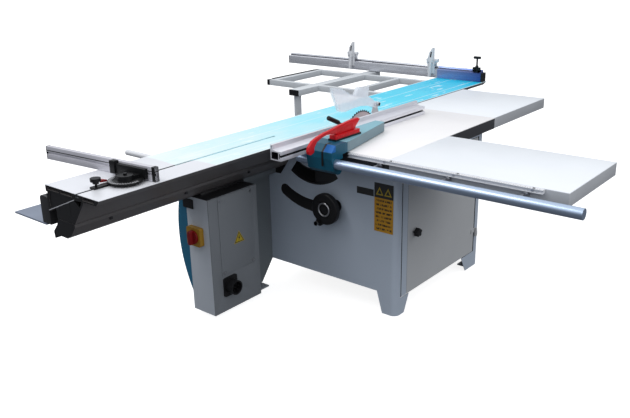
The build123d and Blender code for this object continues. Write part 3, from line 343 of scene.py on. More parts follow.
def shelf_paint():
    """Blue-grey tray with a black bracket above it."""
    f = Finish("shelf paint")
    spot, _, _, z = f.place()
    clouds = f.noise(spot, 8.0, 4.0)
    scuffs = f.noise(spot, 45.0, 5.0)
    tone = f.blend(z > BRACKET_FROM, f.shade((0.20, 0.235, 0.31), clouds, 0.15), (0.018, 0.018, 0.02))
    return f.finish(tone, f.spread(scuffs, 0.3, 0.5), 0.0, f.bump(scuffs, 0.06, 0.0004))


def crosscut_profile():
    """Drawn profile with painted shade along the groove in its top, and blue film left on its blade end."""
    f = Finish("crosscut fence profile")
    spot, x, y, z = f.place()
    low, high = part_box("crosscut_fence")
    lines = f.noise(spot, 420.0, 3.0, (0.02, 1.0, 1.0))
    smudge = f.noise(spot, 6.0, 4.0)
    tone = f.shade((0.66, 0.67, 0.72), smudge, 0.08)
    film_from = high[0] - 0.345
    along = f.add("MapRange", None, {"Value": x, "From Min": film_from, "From Max": high[0]})
    film_tone = f.blend(along, (0.28, 0.36, 0.62), (0.045, 0.085, 0.30))
    tone = f.blend(x > film_from, tone, film_tone)
    # painted shade: a dark line along the groove in the top
    groove_shade = (y > low[1] + 0.0175) * (y < low[1] + 0.0205) * (z > TABLE_Z + 0.062)
    tone = f.blend(groove_shade, tone, (0.012, 0.014, 0.03))
    return f.finish(tone, f.spread(lines, 0.2, 0.34), 0.5, f.bump(lines, 0.05, 0.0003))


def rip_face():
    """Drawn fence profile; its hollow and its side slot are near black inside, as painted shade."""
    f = Finish("rip fence profile")
    spot, x, y, z = f.place()
    low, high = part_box("rip_profile")
    lines = f.noise(spot, 420.0, 3.0, (1.0, 0.02, 1.0))
    smudge = f.noise(spot, 6.0, 4.0)
    hollow = (x > low[0] + 0.0055) * (x < low[0] + 0.0475) * (z > low[2] + 0.0055) * (z < low[2] + 0.0395)
    slot = (x > high[0] - 0.0125) * (x < high[0] - 0.0002) * (z > low[2] + 0.0115) * (z < low[2] + 0.0345)
    inside = (hollow + slot) * (y > low[1] + 0.0005)
    # painted shade inside the hollow and the side slot
    tone = f.blend(inside, f.shade((0.74, 0.74, 0.79), smudge, 0.07), (0.012, 0.012, 0.016))
    return f.finish(tone, f.spread(lines, 0.24, 0.4), 0.45 - inside * 0.45, f.bump(lines, 0.05, 0.0003))


def beam_profile():
    """Dark drawn beam, with painted shade in black on its near cut end."""
    f = Finish("dark beam profile")
    spot, _, y, _ = f.place()
    low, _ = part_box("base_beam")
    lines = f.noise(spot, 420.0, 3.0, (1.0, 0.02, 1.0))
    smudge = f.noise(spot, 6.0, 4.0)
    # painted shade: the near cut end is near black
    tone = f.blend(y < low[1] + 0.001, f.shade((0.15, 0.14, 0.14), smudge, 0.07), (0.01, 0.01, 0.012))
    return f.finish(tone, f.spread(lines, 0.35, 0.52), 0.4, f.bump(lines, 0.05, 0.0003))


def door_paint():
    """Door paint with a strip of the cabinet's own along the near edge and a dark seam line; painted shade
    darkens the near edge at the gap and the inner face.
    """
    f = Finish("door powder coat")
    spot, x, y, _ = f.place()
    low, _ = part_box("cabinet_door")
    clouds = f.noise(spot, 3.0)
    strip, seam = low[1] + 0.050, 0.0025
    tone = f.shade((0.49, 0.50, 0.51), clouds, 0.06)
    tone = f.blend(y < strip, tone, f.shade(CABINET_TONE, clouds, 0.06))
    tone = f.blend((y > strip) * (y < strip + seam), tone, (0.20, 0.22, 0.25))
    # painted shade along the door's near edge, at the gap
    tone = f.blend(y < low[1] + 0.004, tone, (0.03, 0.03, 0.035))
    # painted shade: the door's inner face is near black
    tone = f.blend(x < low[0] + 0.0015, tone, INSIDE_SHADE_TONE)
    return sprayed(f, spot, tone)


def box_paint(name, shade_from_x):
    """Column paint; the side that faces the cabinet is darker and the top is black, both painted shade."""
    f = Finish(name)
    spot, x, _, z = f.place()
    clouds = f.noise(spot, 3.0)
    tone = f.shade((0.50, 0.535, 0.585), clouds, 0.06)
    # painted shade on the side that faces the cabinet
    tone = f.blend(x > shade_from_x, tone, f.shade((0.20, 0.215, 0.235), clouds, 0.08))
    # painted shade: the top is black
    tone = f.blend(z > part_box("electrical_box")[0][2] + BOX_TALL + 0.0005, tone, (0.015, 0.015, 0.016))
    return sprayed(f, spot, tone)


def fence_bar_paint():
    """Satin bar of the mitre gauge, with a dark line of painted shade in its clamping groove."""
    f = Finish("mitre bar")
    spot, _, _, z = f.place()
    _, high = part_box("mitre_fence")
    lines = f.noise(spot, 420.0, 3.0, (0.04, 0.04, 1.0))
    smudge = f.noise(spot, 12.0, 4.0)
    # painted shade: a dark line in the clamping groove
    groove_shade = (z > high[2] - 0.021) * (z < high[2] - 0.017)
    tone = f.blend(groove_shade, f.shade((0.62, 0.61, 0.66), smudge, 0.1), (0.01, 0.01, 0.012))
    return f.finish(tone, f.spread(lines, 0.3, 0.48), 0.3, f.bump(lines, 0.05, 0.0003))


def clear_guard():
    """Milky clear plastic."""
    f = Finish("guard plastic")
    spot, _, _, _ = f.place()
    haze = f.noise(spot, 16.0, 4.0)
    shader = f.add("BsdfPrincipled", None, {"Base Color": (0.93, 0.95, 1.0, 1), "Roughness": 0.2,
                                           "Alpha": f.spread(haze, 0.32, 0.5)})
    out = f.tree.nodes.new("ShaderNodeOutputMaterial")
    f.tree.links.new(shader.socket, out.inputs[0])
    return f.material


def warning_plate():
    """A yellow plate with two triangles in its dark head; rows of dashes stand for its small print."""
    f = Finish("warning plate print")
    spot, x, _, z = f.place()
    grain = f.noise(spot, 60.0, 4.0)
    head_from = PLATE_Z1 - (PLATE_Z1 - PLATE_Z0) * 0.3
    row = f.add("Math", {"operation": "FRACT"}, {0: (z - PLATE_Z0) * PRINT_ROWS})
    word = f.noise(spot, 260.0, 0.0, (1.0, 1.0, 0.2))
    inside = (x > PLATE_X0 + 0.008) * (x < PLATE_X1 - 0.008) * (z < head_from - 0.008) * (z > PLATE_Z0 + 0.01)
    ink = (row > 0.5) * (word > 0.46) * inside
    tone = f.blend(ink, (0.50, 0.245, 0.012), (0.05, 0.03, 0.006))
    tone = f.blend(z > head_from, tone, (0.02, 0.02, 0.02))
    foot = head_from + 0.014
    for centre in (PLATE_X0 + 0.031, PLATE_X1 - 0.031):
        slant = z + f.away(x, centre) * 1.9
        sign = (z > foot) * (slant < foot + 0.042)
        middle = (z > foot + 0.006) * (slant < foot + 0.030)
        tone = f.blend(sign * (1 - middle), tone, (0.42, 0.30, 0.02))
    return f.finish(tone, f.spread(grain, 0.3, 0.5), 0.0)


# ---- finishes -------------------------------------------------------------------------------
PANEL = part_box("cabinet_front_panel")
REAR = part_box("cabinet_rear_panel")
# the box inside which the cabinet's faces carry painted shade
SHADE_INSIDE_BOX = ((PANEL[0][0] + SHEET, PANEL[0][1] + SHEET), (PANEL[1][0] - SHEET, REAR[1][1] - 0.072))
PLATE_X0 = PANEL[1][0] - 0.135
PLATE_X1 = PANEL[1][0] - 0.024
PLATE_Z0 = 0.444
PLATE_Z1 = 0.695

finishes = {
    "cabinet": powder_coat("cabinet powder coat", CABINET_TONE, shade_inside_box=SHADE_INSIDE_BOX),
    "cabinet_side": door_paint(),
    "column": box_paint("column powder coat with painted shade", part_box("electrical_box")[1][0] - 0.0045),
    # painted shade: the wall beside the column has the cabinet's paint, darkened for the shade under the
    # tables
    "shade": powder_coat("wall powder coat with painted shade", (0.17, 0.19, 0.205), shade_inside_box=SHADE_INSIDE_BOX),
    "frame": powder_coat("outrigger paint", (0.60, 0.63, 0.66)),
    "black": moulded("black plastic", (0.008, 0.008, 0.009), 0.38, 0.3),
    "black_paint": powder_coat("black paint", (0.02, 0.02, 0.023), 0.4),
    "film": sliding_top(),
    "table": rim_marked("main table paint", (0.88, 0.865, 0.87), (0.03, 0.03, 0.035)),
    "wing": rim_marked("extension table paint", (0.80, 0.83, 0.87), (0.46, 0.475, 0.50)),
    "beam": beam_profile(),
    "bar": brushed("ground round bar", (0.44, 0.54, 0.70), 0.3, 0, 0.9),
    "rail": brushed("rail profile", (0.72, 0.73, 0.76), 0.36, 0, 0.1),
    "fence_x": crosscut_profile(),
    "fence_y": rip_face(),
    "stop": cast_paint("stop casting", (0.72, 0.73, 0.76), 0.36),
    "steel": brushed("bare steel", (0.5, 0.5, 0.52), 0.3, 2),
    "blade": blade_steel(),
    "shelf": shelf_paint(),
    "mitre_bar": fence_bar_paint(),
    "foot": powder_coat("foot powder coat", (0.30, 0.32, 0.35)),
    "casting": casting_paint(),
    "cover": powder_coat("blue cover enamel", (0.008, 0.12, 0.22), 0.32),
    "red": moulded("red plastic", (0.56, 0.008, 0.014), 0.34, 0.25),
    "switch_red": moulded("red switch plastic", (0.22, 0.006, 0.008), 0.35, 0.3),
    "yellow": moulded("yellow switch plastic", (0.36, 0.19, 0.010), 0.45),
    "hazard": moulded("hazard sign print", (0.50, 0.36, 0.01), 0.45),
    "iron": oiled_iron("oiled iron", (0.05, 0.05, 0.053)),
    "motor": cast_paint("motor enamel", (0.10, 0.13, 0.16)),
    "belt": moulded("belt rubber", (0.015, 0.015, 0.015), 0.6),
    "guard": clear_guard(),
    "cast_black": cast_paint("black casting enamel", (0.006, 0.006, 0.007), 0.34, 0.2),
    "plate": warning_plate(),
    "tag": moulded("black tag print", (0.02, 0.02, 0.02), 0.4),
}

worn_by = {
    "cabinet": ["cabinet_front_panel", "cabinet_rear_panel", "cabinet_right_frame"],
    "shade": ["cabinet_left_side"],
    "cabinet_side": ["cabinet_door", "hinge_pins"],
    "column": ["electrical_box", "electrical_cover"],
    "foot": ["anchor_feet"],
    "shelf": ["side_shelf"],
    "mitre_bar": ["mitre_fence"],
    "stop": ["flip_carrier_left", "flip_carrier_right", "flip_arm_left", "flip_arm_right"],
    "black_paint": ["arm_bearing", "motor_pulley"],
    "table": ["main_table"],
    "wing": ["rear_extension_table", "right_extension_table"],
    "bar": ["guide_bar"],
    "steel": ["guide_bar_studs", "main_arbor", "scoring_blade", "riving_knife", "roller_carriage",
              "frame_screws"],
    "blade": ["saw_blade"],
    "rail": ["scale_rail", "table_handle"],
    "fence_x": ["crosscut_fence"],
    "fence_y": ["rip_profile"],
    "frame": ["outrigger_frame", "swing_arm", "support_post"],
    "black": ["plug_inlet", "outrigger_caps", "crosscut_end_caps", "fence_clamp_knob", "door_knob",
              "clamp_lever", "height_wheel", "tilt_wheel", "outrigger_roller"],
    "yellow": ["switch_base"],
    "switch_red": ["switch_knob"],
    "cover": ["side_cover"],
    "beam": ["base_beam"],
    "film": ["sliding_table"],
    "cast_black": ["mitre_base", "mitre_head"],
    "casting": ["rip_casting"],
    "red": ["push_block", "push_stick"],
    "iron": ["trunnion_saddles", "tilt_cradle", "saw_carriage"],
    "motor": ["motor"],
    "belt": ["drive_belt"],
    "guard": ["blade_guard"],
}
for key, wearers in worn_by.items():
    for wearer in wearers:
        nodes[wearer].data.materials.clear()
        nodes[wearer].data.materials.append(finishes[key])
missing = sorted(set(nodes) - {n for wearers in worn_by.values() for n in wearers})
if missing:
    raise RuntimeError(f"no finish for {missing}")


def body_of(node):
    for name, members in frame["record"]["behaviour"]["bodies"].items():
        if node in members:
            return name
    raise RuntimeError(f"{node} is on no body")


def stand(mesh, name, finish, body, replaced=()):
    """Put a finished mesh on its body."""
    piece = bpy.data.objects.new(name, mesh)
    bpy.context.scene.collection.objects.link(piece)
    if not mesh.materials:
        mesh.materials.append(finish)
    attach(piece, body)
    if replaced:
        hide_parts(*replaced)
    return piece


def mesh_of(bm, name):
    """The finished mesh of a working copy, which is freed."""
    mesh = bpy.data.meshes.new(name)
    bm.to_mesh(mesh)
    bm.free()
    return mesh


def smooth_faces(bm, degrees):
    """Round surfaces shade smoothly; edges sharper than the given turn stay sharp."""
    limit = math.radians(degrees)
    for face in bm.faces:
        face.smooth = True
    for edge in bm.edges:
        edge.smooth = edge.calc_face_angle(math.pi) < limit


def dressed(node, finish_key, bevel=0.0, degrees=30.0):
    """The node's own shape with merged faces, smooth rounds and, if asked, eased edges."""
    bm = bmesh.new()
    bm.from_mesh(nodes[node].data)
    bmesh.ops.remove_doubles(bm, verts=bm.verts, dist=1e-5)
    bmesh.ops.dissolve_limit(bm, angle_limit=math.radians(0.4), verts=bm.verts, edges=bm.edges)
    if bevel:
        sharp = [e for e in bm.edges if len(e.link_faces) == 2 and e.calc_face_angle(0.0) > math.radians(32)]
        bmesh.ops.bevel(bm, geom=sharp, offset=bevel, segments=2, profile=0.6, affect="EDGES",
                        clamp_overlap=True)
    smooth_faces(bm, degrees)
    return stand(mesh_of(bm, node + "_shape"), "v_" + node, finishes[finish_key], body_of(node),
                 (node,))


def plate(bm, corners, normal, thick):
    """A flat prism on the given corners, grown along the normal."""
    low = [bm.verts.new(c) for c in corners]
    high = [bm.verts.new(Vector(c) + Vector(normal) * thick) for c in corners]
    count = len(corners)
    bm.faces.new(low)
    bm.faces.new(high)
    for i in range(count):
        bm.faces.new((low[i], low[(i + 1) % count], high[(i + 1) % count], high[i]))
    bmesh.ops.recalc_face_normals(bm, faces=bm.faces)


def solid(name, outlines, finish, body):
    """One piece made of flat prisms, each (corners, normal, thickness)."""
    bm = bmesh.new()
    for corners, normal, thick in outlines:
        plate(bm, corners, normal, thick)
    return stand(mesh_of(bm, name), name, finish, body)


def circle(centre, across, reach, sides):
    """Corners on a circle that stands upright, opened along the given level axis."""
    turns = [math.tau * i / sides for i in range(sides)]
    return [centre + Vector(across) * reach * math.cos(a) + Vector((0, 0, reach * math.sin(a))) for a in turns]


def block(low, high):
    """A box as one prism."""
    corners = [(low[0], low[1], low[2]), (high[0], low[1], low[2]), (high[0], high[1], low[2]),
               (low[0], high[1], low[2])]
    return corners, (0, 0, 1), high[2] - low[2]


# ---- rows, made by Geometry Nodes --------------------------------------------------------------
def tree_of(name, sockets):
    """An empty tree with named inputs and one geometry output."""
    tree = bpy.data.node_groups.new(name, "GeometryNodeTree")
    for label, kind in sockets:
        tree.interface.new_socket(label, in_out="INPUT", socket_type="NodeSocket" + kind)
    tree.interface.new_socket("Geometry", in_out="OUTPUT", socket_type="NodeSocketGeometry")
    return tree, tree.nodes.new("NodeGroupInput"), tree.nodes.new("NodeGroupOutput")


def link(tree, start, start_key, end, end_key):
    tree.links.new(start.outputs[start_key], end.inputs[end_key])


def row_tree():
    """Blocks of one size in a straight row."""
    tree, given, out = tree_of("row of blocks", (("Count", "Int"), ("Start", "Vector"), ("Step", "Vector"),
                                                ("Size", "Vector"), ("Finish", "Material")))
    line = tree.nodes.new("GeometryNodeMeshLine")
    cube = tree.nodes.new("GeometryNodeMeshCube")
    put = tree.nodes.new("GeometryNodeInstanceOnPoints")
    real = tree.nodes.new("GeometryNodeRealizeInstances")
    paint = tree.nodes.new("GeometryNodeSetMaterial")
    link(tree, given, "Count", line, "Count")
    link(tree, given, "Start", line, "Start Location")
    link(tree, given, "Step", line, "Offset")
    link(tree, given, "Size", cube, "Size")
    link(tree, line, "Mesh", put, "Points")
    link(tree, cube, "Mesh", put, "Instance")
    link(tree, put, "Instances", real, "Geometry")
    link(tree, real, "Geometry", paint, "Geometry")
    link(tree, given, "Finish", paint, "Material")
    link(tree, paint, "Geometry", out, "Geometry")
    return tree


ROW = row_tree()


def row_mesh(name, **inputs):
    """Run the row tree with its named inputs and keep the plain mesh."""
    carrier = bpy.data.objects.new(name, bpy.data.meshes.new(name))
    bpy.context.scene.collection.objects.link(carrier)
    modifier = carrier.modifiers.new("row", "NODES")
    modifier.node_group = ROW
    for item in ROW.interface.items_tree:
        if item.in_out == "INPUT":
            modifier[item.identifier] = inputs[item.name]
    graph = bpy.context.evaluated_depsgraph_get()
    mesh = bpy.data.meshes.new_from_object(carrier.evaluated_get(graph))
    carrier.modifiers.remove(modifier)
    bpy.data.objects.remove(carrier)
    return mesh


def row(name, body, slot, finish, count, start, step, size):
    mesh = row_mesh(name, Count=count, Start=start, Step=step, Size=size, Finish=finish)
    return stand(mesh, name, finish, body)


# ---- pieces ---------------------------------------------------------------------------------
def dress_nodes():
    """Every node whose edges or rounds are seen from close by."""
    eased = {"electrical_box": ("column", 0.003), "electrical_cover": ("column", 0.001),
             "main_table": ("table", 0.0015), "rear_extension_table": ("wing", 0.0015),
             "right_extension_table": ("wing", 0.0015), "outrigger_frame": ("frame", 0.0015),
             "rip_profile": ("fence_y", 0.0008), "mitre_fence": ("mitre_bar", 0.001),
             "crosscut_fence": ("fence_x", 0.001), "scale_rail": ("rail", 0.0006),
             "mitre_head": ("cast_black", 0.001), "push_stick": ("red", 0.003), "push_block": ("red", 0.002),
             "flip_carrier_left": ("stop", 0.001), "flip_carrier_right": ("stop", 0.001),
             "flip_arm_left": ("stop", 0.0015), "flip_arm_right": ("stop", 0.0015),
             "side_shelf": ("shelf", 0.002),
             "switch_knob": ("switch_red", 0.002)}
    for node, (key, bevel) in eased.items():
        dressed(node, key, bevel)
    rounded = {"guide_bar": "bar", "height_wheel": "black", "tilt_wheel": "black", "door_knob": "black",
               "clamp_lever": "black", "plug_inlet": "black", "fence_clamp_knob": "black",
               "side_cover": "cover",
               "outrigger_roller": "black", "mitre_base": "cast_black", "cabinet_front_panel": "cabinet",
               "switch_base": "yellow", "motor": "motor", "main_arbor": "steel", "motor_pulley": "black_paint",
               "table_handle": "rail"}
    for node, key in rounded.items():
        dressed(node, key)


def front_labels():
    """The yellow plate, the black tag beside it and the warning triangle on the electrical cover."""
    y = PANEL[0][1]
    stick = 0.0008
    for name, key, slot, x0, x1, z0, z1 in (
            ("warning_plate", "plate", "switch_yellow", PLATE_X0, PLATE_X1, PLATE_Z0, PLATE_Z1),
            ("name_tag", "tag", "black_plastic", PLATE_X0 - 0.106, PLATE_X0 - 0.004, 0.620, 0.655)):
        face = [(x0, y, z0), (x1, y, z0), (x1, y, z1), (x0, y, z1)]
        solid(name, [(face, (0, -1, 0), stick)], finishes[key], "frame")
    cover_low, cover_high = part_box("electrical_cover")
    x, cy, cz = cover_high[0], (cover_low[1] + cover_high[1]) / 2 + 0.012, cover_high[2] - 0.245
    film = 0.0003
    for layer, (half, key) in enumerate(((0.037, "hazard"), (0.032, "tag"), (0.026, "hazard"))):
        out = x + layer * film
        base, rise = cz - half / math.sqrt(3), half * math.sqrt(3)
        rim = [(out, cy - half, base), (out, cy + half, base), (out, cy, base + rise)]
        solid(f"hazard_triangle_{layer}", [(rim, (1, 0, 0), film)], finishes[key], "frame")
    out = x + 3 * film
    bolt = [(out, cy + 0.003, cz + 0.022), (out, cy - 0.007, cz + 0.003), (out, cy - 0.001, cz + 0.003),
            (out, cy - 0.005, cz - 0.013), (out, cy + 0.007, cz + 0.007), (out, cy + 0.001, cz + 0.007)]
    solid("hazard_bolt", [(bolt, (1, 0, 0), film)], finishes["tag"], "frame")


def scale_marks():
    """Fine marks along the scale rail's top."""
    low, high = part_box("scale_rail")
    step = 0.01
    count = int((high[0] - low[0]) / step) - 1
    size = (0.0008, 0.008, 0.0004)
    row("scale_marks", "frame", "black_plastic", finishes["tag"], count,
        (low[0] + step, low[1] + 0.006, high[2] + 0.0002), (step, 0, 0), size)


def stick_ribs():
    """Grip ribs on the push stick and the push block, and the black base under the block."""
    low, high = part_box("push_stick")
    size = (high[0] - low[0] + 0.002, 0.003, 0.026)
    row("push_stick_ribs", "push_stick", "push_red", finishes["red"], 13,
        ((low[0] + high[0]) / 2, high[1] - 0.175, high[2] - 0.031), (0, 0.0095, 0), size)
    low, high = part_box("push_block")
    size = (high[0] - low[0] + 0.002, 0.004, 0.012)
    row("push_block_ribs", "rip_casting", "push_red", finishes["red"], 14,
        ((low[0] + high[0]) / 2, low[1] + 0.014, high[2] - 0.008), (0, 0.0125, 0), size)
    base_low = (low[0] - 0.002, low[1] - 0.002, low[2] + 0.0002)
    base_high = (high[0] + 0.002, high[1] + 0.002, low[2] + 0.009)
    solid("push_block_base", [block(base_low, base_high)], finishes["black"], "rip_casting")


def casting_slot_shade():
    """A black strip over the casting's nose, beside the push stick, as painted shade for its clamping slot."""
    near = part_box("rip_casting")[0][1]
    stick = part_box("push_stick")[1][0]
    x0, x1 = stick - 0.002, stick + 0.009
    lip, thick = 0.0006, 0.0012
    path = [(near - lip, TABLE_Z - 0.045), (near - lip, NOSE_Z), (near + 0.03, CAST_TOP + lip),
            (near + 0.062, CAST_TOP + lip)]
    front, slope, level = [[(x0, ya, za), (x1, ya, za), (x1, yb, zb), (x0, yb, zb)]
                           for (ya, za), (yb, zb) in zip(path, path[1:])]
    faces = [(front, (0, 1, 0), thick), (slope, (0, 0.7, -0.7), thick), (level, (0, 0, -1), thick)]
    solid("casting_slot_shade", faces, finishes["black"], "rip_casting")


def end_plates(name, node, body, base_z, inset, outline):
    """A black plate inside each end of a profile, as painted shade in its hollow, on an outline from its left
    edge and a height.
    """
    low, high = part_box(node)
    for end, y, way in (("near", low[1] + inset, 1), ("far", high[1] - inset, -1)):
        corners = [(low[0] + dx, y, base_z + dz) for dx, dz in outline]
        solid(f"{name}_{end}", [(corners, (0, way, 0), END_THICK)], finishes["black"], body)


def hollow_shade_plates():
    """Black plates inside the ends of the sliding table and the beam, as painted shade in their hollows."""
    end_plates("hollow_shade_plate", "sliding_table", "sliding_table", TABLE_Z, 0.0004,
               ((0.060, -0.138), (0.180, -0.138), (0.183, -0.130), (0.236, -0.055), (0.205, -0.032),
                (0.060, -0.088)))
    end_plates("beam_shade_plate", "base_beam", "frame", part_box("base_beam")[0][2], 0.0004,
               ((0.050, 0.092), (0.041, 0.070), (0.006, 0.031), (0.0075, 0.0045), (0.053, 0.0235),
                (0.1, 0.0235), (0.128, 0.042), (0.160, 0.083), (0.160, 0.092)))
    end_plates("pocket_shade_plate", "sliding_table", "sliding_table", TABLE_Z, 0.004,
               ((0.017, -0.107), (0.017, -0.026), (0.198, -0.026), (0.198, -0.031)))


def mitre_details():
    """Red pointer, pale graduations every five degrees on the disc, and black end caps on the bar."""
    pivot = MITRE_AT
    width, lift = 0.012, 0.0085
    ahead = Vector((-0.768, -0.64, 0)).normalized()
    side = Vector((-ahead.y, ahead.x, 0))
    tip = pivot + ahead * 0.0765 + Vector((0, 0, lift))
    tail = pivot + ahead * 0.104 + Vector((0, 0, lift))
    arrow = [tip, tail + side * width, tail - side * width]
    solid("mitre_pointer", [(arrow, (0, 0, 1), 0.009)], finishes["switch_red"], "mitre_base")
    marks = []
    disc_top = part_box("mitre_head")[0][2] + 0.006
    for i in range(37):
        a = math.radians(185 + 5 * i + 2)
        out = Vector((math.cos(a + MITRE_TURN), math.sin(a + MITRE_TURN), 0))
        flat = Vector((-out.y, out.x, 0)) * 0.0007
        near = pivot + out * (0.062 if i % 2 else 0.056)
        far = pivot + out * 0.071
        near.z = far.z = disc_top
        marks.append(([near - flat, near + flat, far + flat, far - flat], (0, 0, 1), 0.0004))
    solid("mitre_marks", marks, finishes["rail"], "mitre_head")
    along = Vector((math.cos(MITRE_TURN), math.sin(MITRE_TURN), 0))
    over = Vector((-along.y, along.x, 0))
    low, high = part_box("mitre_fence")
    start = pivot + over * BAR_OUT
    for end, at, deep in (("right", 0.102, 0.018), ("left", -0.610, 0.003)):
        inner = at - deep if at > 0 else at + deep
        corners = [start + along * inner, start + along * at, start + along * at + over * BAR_DEEP,
                   start + along * inner + over * BAR_DEEP]
        grown = [c + (-over * 0.0006 if i < 2 else over * 0.0006) for i, c in enumerate(corners)]
        for c in grown:
            c.z = low[2] - 0.0001
        solid(f"mitre_cap_{end}", [(grown, (0, 0, 1), high[2] - low[2] + 0.0006)], finishes["black"],
              "mitre_head")


def box_top():
    """A black sheet on the electrical box's top, as painted shade, and the small black socket at its upper
    left.
    """
    low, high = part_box("electrical_box")
    box_top_z = low[2] + BOX_TALL
    top_shade = ((low[0] + 0.002, low[1] + 0.002, box_top_z), (high[0] - 0.0075, high[1] - 0.002, box_top_z + 0.0012))
    # painted shade: a black sheet over the box's top
    solid("electrical_top_shade", [block(*top_shade)], finishes["black_paint"], "frame")
    socket = ((low[0] - 0.018, low[1] - 0.006, box_top_z - 0.060),
              (low[0] + 0.052, low[1] - 0.0002, box_top_z - 0.014))
    solid("electrical_socket", [block(*socket)], finishes["black"], "frame")


def beam_screws():
    """Screw heads along the beam's right side."""
    low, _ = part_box("base_beam")
    row("beam_screws", "frame", "black_paint", finishes["black_paint"], 6,
        (low[0] + 0.157, low[1] + 0.18, low[2] + 0.072), (0, 0.42, 0), (0.012, 0.012, 0.012))


def stop_details():
    """Black windows on the two flip stops."""
    for side in ("left", "right"):
        low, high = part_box(f"flip_arm_{side}")
        middle = (low[0] + high[0]) / 2
        face, base, top = low[1] + 0.0176, high[2] - 0.066, high[2] - 0.028
        window = [(middle - 0.004, face, base), (middle + 0.006, face, base), (middle + 0.012, face, top),
                  (middle + 0.002, face, top)]
        solid(f"stop_window_{side}", [(window, (0, -1, 0), 0.0006)], finishes["black"], f"flip_arm_{side}")


def clamp_blocks():
    """The black clamp body round the foot of the fence's T-handle."""
    low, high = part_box("fence_clamp_knob")
    x, y, base = (low[0] + high[0]) / 2, (low[1] + high[1]) / 2, TABLE_Z + 0.0675
    cheeks = [block((x + a, y - 0.0115, base), (x + b, y + 0.0045, base + c))
              for a, b, c in ((-0.027, -0.0068, 0.0115), (0.0068, 0.027, 0.0115), (-0.027, -0.0118, 0.032),
                              (0.0118, 0.027, 0.032))]
    solid("clamp_cheeks", cheeks, finishes["black"], "crosscut_fence")


def slot_film():
    """The film bridges the slot in the table's far part."""
    low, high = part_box("sliding_table")
    middle, half = low[0] + SLOT_IN, 0.0069
    strip = block((middle - half, low[1] + FILM_SPAN, TABLE_Z - 0.0005),
                  (middle + half, high[1] - 0.001, TABLE_Z - 0.0001))
    solid("slot_film", [strip], finishes["film"], "sliding_table")


def guard_knob():
    """Black screw that holds the guard on the riving knife."""
    centre = Vector((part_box("riving_knife")[1][0], 0.243, 0.941))
    corners = circle(centre, (0, 1, 0), 0.0085, 20)
    solid("guard_screw", [(corners, (-1, 0, 0), 0.0118)], finishes["black"], "saw_carriage")


def wheel_trim():
    """The bright ring on the height wheel's face, and the bright tip of its handle."""
    low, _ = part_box("height_wheel")
    centre = Vector((WHEEL_X, low[1] + 0.0255, WHEEL_Z))
    turns, sides, big, small = 48, 10, 0.0335, 0.0045
    bm = bmesh.new()
    rings = []
    for i in range(turns):
        a = math.tau * i / turns
        ring = []
        for j in range(sides):
            b = math.tau * j / sides
            reach = big + small * math.cos(b)
            spot = Vector((reach * math.cos(a), small * math.sin(b), reach * math.sin(a)))
            ring.append(bm.verts.new(centre + spot))
        rings.append(ring)
    for i in range(turns):
        for j in range(sides):
            k, m = (i + 1) % turns, (j + 1) % sides
            bm.faces.new((rings[i][j], rings[k][j], rings[k][m], rings[i][m]))
    bmesh.ops.recalc_face_normals(bm, faces=bm.faces)
    smooth_faces(bm, 60)
    ring = "height_wheel_ring"
    stand(mesh_of(bm, ring), ring, finishes["steel"], "height_wheel")
    lean, reach = math.radians(-115), 0.083
    tip = Vector((WHEEL_X + reach * math.cos(lean), low[1], WHEEL_Z + reach * math.sin(lean)))
    solid("height_handle_tip", [(circle(tip, (1, 0, 0), 0.0124, 24), (0, 1, 0), 0.009)], finishes["steel"],
          "height_wheel")


def door_seam():
    """A black block in the gap in front of the door, as painted shade in the gap."""
    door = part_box("cabinet_door")
    low = (PANEL[1][0] - 0.008, door[0][1] - 0.0032, door[0][2])
    high = (PANEL[1][0] - 0.0032, door[0][1] + 0.004, door[1][2])
    solid("door_gap_shade", [block(low, high)], finishes["black"], "frame")


def rail_screws():
    """Black screws on the scale rail."""
    low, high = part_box("scale_rail")
    row("rail_screws", "frame", "black_plastic", finishes["black"], 3,
        (low[0] + 0.235, low[1] + 0.009, high[2] + 0.0004), (0.335, 0, 0), (0.009, 0.009, 0.0024))


dress_nodes()
front_labels()
scale_marks()
stick_ribs()
casting_slot_shade()
hollow_shade_plates()
mitre_details()
box_top()
beam_screws()
stop_details()
clamp_blocks()
slot_film()
guard_knob()
wheel_trim()
door_seam()
rail_screws()


# ---- studio ---------------------------------------------------------------------------------
def studio_floor():
    """A pale floor that glows a little, so that the shadow on it stays faint."""
    bm = bmesh.new()
    bmesh.ops.create_grid(bm, x_segments=1, y_segments=1, size=30)
    mesh = mesh_of(bm, "floor")
    f = Finish("studio floor")
    spot, _, _, _ = f.place()
    clouds = f.noise(spot, 0.4)
    mesh.materials.append(f.finish(f.shade((0.5, 0.5, 0.5), clouds, 0.01), 0.95, 0.0, None,
                                   **{"Emission Color": WHITE, "Emission Strength": 0.86}))
    floor = bpy.data.objects.new("floor", mesh)
    floor.location.z = -0.001
    floor.visible_diffuse = False
    floor.visible_glossy = False
    bpy.context.scene.collection.objects.link(floor)


def soft_box(name, place, aim, size, power):
    """A square lamp that faces a point."""
    light = bpy.data.lights.new(name, "AREA")
    light.shape = "RECTANGLE"
    light.size, light.size_y = size
    light.energy = power
    lamp = bpy.data.objects.new(name, light)
    lamp.location = place
    lamp.rotation_euler = (Vector(aim) - Vector(place)).to_track_quat("-Z", "Y").to_euler()
    bpy.context.scene.collection.objects.link(lamp)


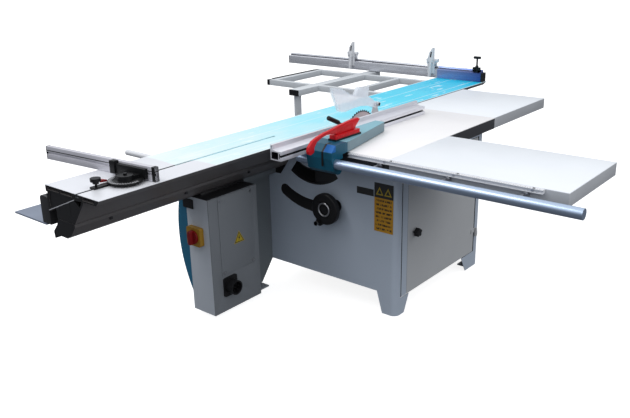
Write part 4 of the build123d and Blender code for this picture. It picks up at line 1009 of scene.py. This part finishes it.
def studio_light():
    """Bright overhead, dim from the sides and dark from below, in front of a white backdrop."""
    world = bpy.data.worlds.new("studio")
    world.use_nodes = True
    tree = world.node_tree
    tree.nodes.clear()

    def add(kind, **settings):
        node = tree.nodes.new("ShaderNode" + kind)
        for key, value in settings.items():
            setattr(node, key, value)
        return node

    where = add("TexCoord")
    height = add("SeparateXYZ")
    ramp = add("ValToRGB")
    stops = ((0.0, (0.10, 0.10, 0.11)), (0.47, (0.13, 0.14, 0.155)), (0.58, (0.30, 0.32, 0.35)),
             (0.75, (0.85, 0.88, 0.92)), (1.0, (1.0, 1.0, 1.0)))
    while len(ramp.color_ramp.elements) < len(stops):
        ramp.color_ramp.elements.new(1.0)
    for element, (place, shade) in zip(ramp.color_ramp.elements, stops):
        element.position = place
        element.color = (*shade, 1)
    half = add("MapRange")
    half.inputs["From Min"].default_value = -1.0
    light, backdrop, mixed = add("Background"), add("Background"), add("MixShader")
    seen, out = add("LightPath"), add("OutputWorld")
    tree.links.new(where.outputs["Generated"], height.inputs[0])
    tree.links.new(height.outputs["Z"], half.inputs["Value"])
    tree.links.new(half.outputs[0], ramp.inputs[0])
    tree.links.new(ramp.outputs[0], light.inputs[0])
    light.inputs[1].default_value = 1.15
    tree.links.new(seen.outputs["Is Camera Ray"], mixed.inputs[0])
    tree.links.new(light.outputs[0], mixed.inputs[1])
    tree.links.new(backdrop.outputs[0], mixed.inputs[2])
    backdrop.inputs[0].default_value = WHITE
    tree.links.new(mixed.outputs[0], out.inputs[0])
    bpy.context.scene.world = world
    soft_box("key", (-1.5, -3.0, 5.0), (0, 0, 0.6), (2.0, 2.0), 60)
    soft_box("side", (4.5, -0.5, 2.2), (0.3, 0, 0.5), (1.5, 1.5), 25)


def studio_camera():
    """An eye before the near right corner, leaning a little."""
    eye = Vector((2.504, -3.133, 1.7702))
    yaw, pitch, roll = math.radians(39.82), math.radians(19.458), math.radians(1.262)
    ahead = Vector((-math.sin(yaw) * math.cos(pitch), math.cos(yaw) * math.cos(pitch), -math.sin(pitch)))
    across = Vector((math.cos(yaw), math.sin(yaw), 0))
    down = ahead.cross(across)
    right = math.cos(roll) * across + math.sin(roll) * down
    low = -math.sin(roll) * across + math.cos(roll) * down
    turn = Matrix((right, -low, -ahead)).transposed()
    data = bpy.data.cameras.new("studio camera")
    data.sensor_width = 36
    data.lens = 42.12
    data.clip_end = 100
    camera = bpy.data.objects.new("studio camera", data)
    camera.matrix_world = Matrix.Translation(eye) @ turn.to_4x4()
    bpy.context.scene.collection.objects.link(camera)
    bpy.context.scene.camera = camera


studio_floor()
studio_light()
studio_camera()
bpy.context.scene.view_settings.view_transform = "Standard"
